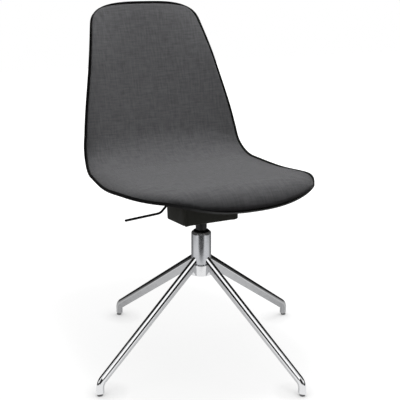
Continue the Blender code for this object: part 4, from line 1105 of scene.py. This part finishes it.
tube_low, tube_high = (corner.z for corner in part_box("pressure_tube"))
cap_low = tube_high - TUBE_CAP
tube = turned([
    (TAPER_RADIUS, tube_high), (TUBE_RADIUS, tube_high - TAPER_HEIGHT), (TUBE_RADIUS, tube_low),
    (TUBE_BORE, tube_low), (TUBE_BORE, cap_low), (PIN_HOLE, cap_low), (PIN_HOLE, tube_high),
])
chair_piece("spring_tube", moved(soften(tube, TUBE_EDGE), TO_AXIS), "pressure_tube")

# %% Glides
GLIDE_RADIUS = 0.0065
GLIDE_HEIGHT = 0.005
GLIDE_EDGE = 0.0010
GLIDE_STEPS = 40
STEM_RADIUS = 0.0035
STEM_TOP = 0.019

for number, foot in enumerate(GLIDES, start=1):
    glide = turned([
        (0.0, STEM_TOP), (STEM_RADIUS, STEM_TOP), (STEM_RADIUS, GLIDE_HEIGHT), (GLIDE_RADIUS, GLIDE_HEIGHT),
        (GLIDE_RADIUS, 0.0), (0.0, 0.0),
    ], GLIDE_STEPS)
    spot = Matrix.Translation(AXIS + Vector((foot.x, foot.y, 0.0)))
    chair_piece(f"floor_glide_{number}", moved(soften(glide, GLIDE_EDGE), spot), f"glide_{number}")

# %% [markdown]
# ## The black box under the seat
# A moulded cover hides the plate, the socket and the lever's pivot. It is a box with rounded corners,
# open at the top, with a round hole for the tube and a slot for the lever. A Boolean would cut both, but
# leaves long thin faces. Here the hole is a ring bridged into the floor, the slot is bisected out of the
# side wall, and only then does the wall get its thickness. All its points are marked with the coarser
# skin.

# %% The lever's slot
PIVOT_DROP = -0.0362
SLOT_HALF = 0.0045
SLOT_LOW = -0.0439
SLOT_HIGH = -0.0282
FACING = 0.99


def cut_slot(bm):
    """Bisect the lever's slot out of the wall at -X, and take its faces away."""
    pivot_y = -PIVOT_DROP * math.tan(SEAT_TILT)
    cuts = (
        ((0.0, pivot_y - SLOT_HALF, 0.0), (0.0, 1.0, 0.0)),
        ((0.0, pivot_y + SLOT_HALF, 0.0), (0.0, 1.0, 0.0)),
        ((0.0, 0.0, SLOT_LOW), (0.0, 0.0, 1.0)),
        ((0.0, 0.0, SLOT_HIGH), (0.0, 0.0, 1.0)),
    )
    for place, normal in cuts:
        wall = [face for face in bm.faces if face.normal.x < -FACING]
        edges = {edge for face in wall for edge in face.edges}
        verts = {vert for face in wall for vert in face.verts}
        bmesh.ops.bisect_plane(bm, geom=list(verts) + list(edges) + wall, plane_co=place, plane_no=normal)
    slot = [
        face for face in bm.faces if face.normal.x < -FACING
        and abs(face.calc_center_median().y - pivot_y) < SLOT_HALF
        and SLOT_LOW < face.calc_center_median().z < SLOT_HIGH
    ]
    bmesh.ops.delete(bm, geom=slot, context="FACES")


print("slot of", round((SLOT_HIGH - SLOT_LOW) * 1000, 1), "mm by", round(SLOT_HALF * 2000, 1), "mm")

# %% The black box
BOX_WIDTH = 0.150
BOX_DEPTH = 0.110
BOX_LOW = -0.0990
BOX_TOP = -0.0062
BOX_CORNER = 0.012
BOX_CORNER_SEGMENTS = 8
BOX_FLOOR_ROUND = 0.0035
BOX_FLOOR_SEGMENTS = 4
BOX_WALL = 0.0027
BOX_EDGE = 0.0006
BOX_EDGE_SEGMENTS = 2
SOCKET_HOLE = 0.0195


def box_body():
    """The cover in the deck's frame, which tilts with the seat."""
    bm = bmesh.new()
    size = Matrix.Diagonal((BOX_WIDTH, BOX_DEPTH, BOX_TOP - BOX_LOW, 1.0))
    middle = Matrix.Translation((0.0, 0.0, (BOX_TOP + BOX_LOW) / 2))
    bmesh.ops.create_cube(bm, size=1.0, matrix=middle @ size)
    posts = [edge for edge in bm.edges if abs((edge.verts[0].co - edge.verts[1].co).z) > MERGE]
    bevel(bm, posts, BOX_CORNER, BOX_CORNER_SEGMENTS)
    top = [face for face in bm.faces if face.normal.z > FACING]
    bmesh.ops.delete(bm, geom=top, context="FACES_ONLY")
    floor_face = next(face for face in bm.faces if face.normal.z < -FACING)
    bevel(bm, list(floor_face.edges), BOX_FLOOR_ROUND, BOX_FLOOR_SEGMENTS)
    floor_face = next(face for face in bm.faces if face.normal.z < -FACING)
    outer = list(floor_face.edges)
    bmesh.ops.delete(bm, geom=[floor_face], context="FACES_ONLY")
    hole_spot = Matrix.Translation((0.0, -BOX_LOW * math.tan(SEAT_TILT), BOX_LOW))
    hole = bmesh.ops.create_circle(bm, segments=len(outer), radius=SOCKET_HOLE, matrix=hole_spot)["verts"]
    inner = list({edge for vert in hole for edge in vert.link_edges})
    bmesh.ops.bridge_loops(bm, edges=outer + inner)
    cut_slot(bm)
    bmesh.ops.recalc_face_normals(bm, faces=bm.faces[:])
    bmesh.ops.solidify(bm, geom=bm.faces[:], thickness=BOX_WALL)
    return bm


box = chair_piece("lever_box", moved(box_body(), DECK), "mechanism_cover")
coarse = box.data.attributes.new("coarse", "FLOAT", "POINT")
coarse.data.foreach_set("value", [1.0] * len(box.data.vertices))
soft_edges = box.modifiers.new("soft_edges", "BEVEL")
soft_edges.width = BOX_EDGE
soft_edges.segments = BOX_EDGE_SEGMENTS
soft_edges.limit_method = "ANGLE"
soft_edges.angle_limit = HARD_EDGE

# %% [markdown]
# ## The height lever
# The lever is a bent steel rod: a finger over the valve, an eye on its pin, and an arm that comes out of
# the box, drops and runs out almost level. A curve with a bevel would do, but its end is cut flat. Rings
# of points along the bent line are bridged instead, and the last ones shrink into a round tip.

# %% The lever's middle line
LEVER_LINE = ((0.036, 0.0), (0.0, 0.0), (-0.047, -0.0005), (-0.0815, -0.0345), (-0.1745, -0.0412))
LEVER_BEND_ROUND = 0.008
LEVER_BEND_STEPS = 8


def lever_line():
    """The rod's middle line in the pivot's frame, with its bends rounded."""
    line = [Vector(LEVER_LINE[0])]
    for before, corner, after in zip(LEVER_LINE, LEVER_LINE[1:], LEVER_LINE[2:]):
        here = Vector(corner)
        start = here + (Vector(before) - here).normalized() * LEVER_BEND_ROUND
        end = here + (Vector(after) - here).normalized() * LEVER_BEND_ROUND
        for i in range(LEVER_BEND_STEPS + 1):
            t = i / LEVER_BEND_STEPS
            line.append(start * (1 - t) ** 2 + here * 2 * t * (1 - t) + end * t * t)
    return line + [Vector(LEVER_LINE[-1])]


print(len(lever_line()), "points along the lever")

# %% The height lever
LEVER_RADIUS = 0.003
LEVER_SIDES = 20
TIP_STEPS = 5
HALF_STEP = 0.5
EYE_RADIUS = 0.0055
EYE_BORE = 0.0028
EYE_HALF = 0.0045
EYE_EDGE = 0.0004
EYE_STEPS = 32


def lever_body():
    """The bent rod with its round tip, and the eye on its pin, in the pivot's frame."""
    bm = bmesh.new()
    line = lever_line()
    radii = [LEVER_RADIUS] * len(line)
    tip = (line[-1] - line[-2]).normalized()
    line[-1] -= tip * LEVER_RADIUS
    end = line[-1].copy()
    for i in range(1, TIP_STEPS + 1):
        angle = math.pi / 2 * i / (TIP_STEPS + HALF_STEP)
        line.append(end + tip * LEVER_RADIUS * math.sin(angle))
        radii.append(LEVER_RADIUS * math.cos(angle))
    rings = []
    for i, (here, radius) in enumerate(zip(line, radii)):
        heading = (line[min(i + 1, len(line) - 1)] - line[max(i - 1, 0)]).normalized()
        side = Vector((-heading.y, heading.x))
        ring = []
        for j in range(LEVER_SIDES):
            angle = math.tau * j / LEVER_SIDES
            spot = here + side * radius * math.cos(angle)
            ring.append(bm.verts.new((spot.x, radius * math.sin(angle), spot.y)))
        rings.append(ring)
    bridged(bm, rings)
    eye = turned([
        (EYE_RADIUS, EYE_HALF), (EYE_RADIUS, -EYE_HALF), (EYE_BORE, -EYE_HALF), (EYE_BORE, EYE_HALF),
    ], EYE_STEPS)
    return joined(bm, moved(soften(eye, EYE_EDGE), Matrix.Rotation(math.pi / 2, 4, "X")))


pivot = Matrix.Translation(JOINTS["lever_lift"]["pos_m"]) @ Matrix.Rotation(-SEAT_TILT, 4, "X")
chair_piece("bent_lever", moved(lever_body(), pivot), "height_lever")

# %% [markdown]
# ## Inner parts
# The bearing, the piston rod, the valve, the plate and the screws hardly show, and their solids are
# already right. They keep their shapes and only take the finish of their slot.

# %% Inner parts
inner = [node for node, item in frame["nodes"].items() if not item.hide_render]
for node in inner:
    mesh = frame["nodes"][node].data
    mesh.materials.clear()
    mesh.materials.append(FINISHES[NODE_SLOTS[node]])
print(len(inner), "inner parts keep their solids:", ", ".join(sorted(inner)))

# %% [markdown]
# ## The paper floor
# The photograph has a white ground with a faint shadow. More light would wash out the chair, so the floor
# shows the camera its own white, and only a share of it is plain matt paper that takes the shadow. An
# Ambient Occlusion node darkens it close under the feet. Polished metal shows what stands round it, so in
# reflections the floor is a sheet of paper of limited size: white round the chair, dark where it ends
# before the camera and far to the sides, and grey behind. All of this lies fixed on the floor and stays
# there in other views.

# %% Stage helpers
def mixed(tree, share, first, second):
    """A shader between two others."""
    return put(tree, "ShaderNodeMixShader", {0: share, 1: first, 2: second}).outputs[0]


def reach_along(tree, vector, direction):
    """How far a vector reaches in a direction."""
    node = put(tree, "ShaderNodeVectorMath", {0: vector, 1: direction}, operation="DOT_PRODUCT")
    return node.outputs["Value"]


def in_reflection(tree, path):
    """1 for rays that a shiny surface mirrors, and for rays through glass."""
    return reckon(tree, "MAXIMUM", path["Is Glossy Ray"], path["Is Transmission Ray"])


print("stage helpers ready")

# %% Paper in metal
PAPER_TURN = math.radians(2.0)
PAPER_FRONT = (-0.75, -0.70)
PAPER_SIDES = (0.34, 0.92)
PAPER_WIDE = (0.80, 1.30)
PAPER_BACK = (-0.10, 0.50)
FRONT_DARK = 0.08
BACK_GREY = 0.25


def paper_in_metal(tree, place):
    """How white the sheet of paper looks in polished metal."""
    inward = Matrix.Rotation(PAPER_TURN, 3, "Z") @ AHEAD
    deep = reach_along(tree, place, inward)
    aside = reckon(tree, "ABSOLUTE", reach_along(tree, place, inward.cross(UP)))
    slant = reckon(tree, "DIVIDE", aside, reckon(tree, "ABSOLUTE", deep))
    front = ranged(tree, deep, PAPER_FRONT, (FRONT_DARK, 1.0), smooth=True)
    back = ranged(tree, deep, PAPER_BACK, (1.0, BACK_GREY), smooth=True)
    beside = ranged(tree, slant, PAPER_SIDES, (FRONT_DARK, 1.0), smooth=True)
    wide = ranged(tree, aside, PAPER_WIDE, (1.0, FRONT_DARK), smooth=True)
    sheet = reckon(tree, "MINIMUM", reckon(tree, "MAXIMUM", front, beside), wide)
    return reckon(tree, "MINIMUM", sheet, back)


print("in metal, the paper ends", -PAPER_FRONT[1], "m before the middle of the floor")

# %% Paper floor
WHITE = (1.0, 1.0, 1.0, 1.0)
FLOOR_SIZE = 12.0
FLOOR_WHITE = 1.36
PAPER_MATT = 0.8
BOUNCE = 0.18
SHADOW_SHARE = 0.37
SHADOW_FADE = (0.55, 1.6)
CONTACT_REACH = 0.06
CONTACT_SHADE = 0.9
CONTACT_SAMPLES = 6


def floor_finish():
    """White paper that keeps a share of the shadow."""
    material = bpy.data.materials.new("white_floor")
    material.use_nodes = True
    tree = material.node_tree
    tree.nodes.clear()
    path = put(tree, "ShaderNodeLightPath").outputs
    place = put(tree, "ShaderNodeTexCoord").outputs["Object"]
    away = put(tree, "ShaderNodeVectorMath", {0: place}, operation="LENGTH").outputs["Value"]
    clear = ranged(tree, away, SHADOW_FADE, (1.0 - SHADOW_SHARE, 1.0))
    open_sky = put(tree, "ShaderNodeAmbientOcclusion", {"Distance": CONTACT_REACH}, samples=CONTACT_SAMPLES)
    shaded = FLOOR_WHITE * (1.0 - CONTACT_SHADE)
    lit = ranged(tree, open_sky.outputs["AO"], (0.0, 1.0), (shaded, FLOOR_WHITE))
    matt, bounce = (put(tree, "ShaderNodeBsdfDiffuse", {"Color": (level, level, level, 1.0)}).outputs[0]
                    for level in (PAPER_MATT, BOUNCE))
    white, mirrored = (put(tree, "ShaderNodeEmission", {"Color": WHITE, "Strength": strength}).outputs[0]
                       for strength in (lit, paper_in_metal(tree, place)))
    in_view = mixed(tree, clear, matt, white)
    in_metal = mixed(tree, in_reflection(tree, path), bounce, mirrored)
    shown = mixed(tree, path["Is Camera Ray"], in_metal, in_view)
    put(tree, "ShaderNodeOutputMaterial", {0: shown})
    return material


def lay_floor():
    """A flat sheet that isn't part of the chair."""
    bm = bmesh.new()
    size = Matrix.Diagonal((FLOOR_SIZE, FLOOR_SIZE, 1.0, 1.0))
    bmesh.ops.create_grid(bm, x_segments=1, y_segments=1, size=0.5, matrix=size)
    mesh = bpy.data.meshes.new("floor")
    bm.to_mesh(mesh)
    bm.free()
    mesh.materials.append(floor_finish())
    sheet = bpy.data.objects.new("floor", mesh)
    bpy.context.scene.collection.objects.link(sheet)


lay_floor()
print("white floor of", FLOOR_SIZE, "m")

# %% [markdown]
# ## The studio round the chair
# The world is white to the camera and gives an even, low light to cloth and plastic. Metal needs
# contrast, or it looks like grey paint: photographers set white cards in a dark room for it. Panels could
# be modelled, but they would block the lamps. Here the cards are patches of the world, each facing one
# direction with a soft edge, and only reflections show them.

# %% Cards in metal
ROOM_DARK = 0.01
CEILING = 0.03
CEILING_EDGE = (0.80, 0.90)
CARD_SIDE = 0.65
CARD_NEAR = 0.64
CARD_HEIGHT = 0.42
CARD_EDGE = (math.cos(math.radians(14.0)), math.cos(math.radians(10.0)))
CARD_WHITE = 1.30
TOP_CARD_NEAR = 1.6
TOP_CARD_EDGE = (math.cos(math.radians(26.0)), math.cos(math.radians(22.0)))
TOP_CARD_WHITE = 1.0


def cards_in_metal(sky):
    """The room as reflections show it: dark, with a dim ceiling, two cards at the sides and one above."""
    toward = put(sky, "ShaderNodeTexCoord").outputs["Generated"]
    rightward = AHEAD.cross(UP)
    seen = ROOM_DARK
    for aim, edge, level in (
        (UP, CEILING_EDGE, CEILING),
        (rightward * CARD_SIDE - AHEAD * CARD_NEAR + UP * CARD_HEIGHT, CARD_EDGE, CARD_WHITE),
        (-rightward * CARD_SIDE - AHEAD * CARD_NEAR + UP * CARD_HEIGHT, CARD_EDGE, CARD_WHITE),
        (UP - AHEAD * TOP_CARD_NEAR, TOP_CARD_EDGE, TOP_CARD_WHITE),
    ):
        facing = reach_along(sky, toward, aim.normalized())
        card = ranged(sky, facing, edge, (ROOM_DARK, level), smooth=True)
        seen = reckon(sky, "MAXIMUM", seen, card)
    return seen


print("metal sees a room of", ROOM_DARK, "with cards of up to", CARD_WHITE)

# %% Studio world
AMBIENT = 0.13


def studio_world():
    """White to the camera, a dark room with cards in reflections, and an even light to everything else."""
    world = bpy.data.worlds.new("studio")
    world.use_nodes = True
    sky = world.node_tree
    sky.nodes.clear()
    path = put(sky, "ShaderNodeLightPath").outputs
    even, room, white = (put(sky, "ShaderNodeBackground", {"Color": WHITE, "Strength": strength}).outputs[0]
                         for strength in (AMBIENT, cards_in_metal(sky), 1.0))
    in_metal = mixed(sky, in_reflection(sky, path), even, room)
    shown = mixed(sky, path["Is Camera Ray"], in_metal, white)
    put(sky, "ShaderNodeOutputWorld", {0: shown})
    bpy.context.scene.world = world


studio_world()
bpy.context.scene.view_settings.view_transform = "Standard"
print("ambient light", AMBIENT)

# %% [markdown]
# ## Lamps
# A studio hangs a large soft box over the chair, so that the seat is lighter than the back and the shadow
# is faint, and a weaker one in front keeps the seat's lip from going dark. A small lamp beside the large
# one gives the shadow under the legs a little shape. The lamps stay out of reflections, where the cards
# do their work.

# %% Lamps
def softbox(name, place, aim, size, power):
    """A square lamp that shines from a place towards an aim."""
    lamp = bpy.data.lights.new(name, "AREA")
    lamp.shape = "SQUARE"
    lamp.size = size
    lamp.energy = power
    made = bpy.data.objects.new(name, lamp)
    made.location = place
    made.rotation_euler = (Vector(aim) - Vector(place)).to_track_quat("-Z", "Y").to_euler()
    made.visible_glossy = False
    bpy.context.scene.collection.objects.link(made)
    print(name, "of", power, "W at", place)


softbox("overhead_softbox", place=(0.35, 0.2, 2.6), aim=(0.0, 0.0, 0.0), size=3.0, power=36.0)
softbox("overhead_spot", place=(0.1, -0.15, 2.4), aim=(0.0, 0.0, 0.0), size=0.45, power=18.0)
softbox("front_softbox", place=(-0.5, -2.1, 2.4), aim=(0.0, 0.0, 0.6), size=1.5, power=6.0)
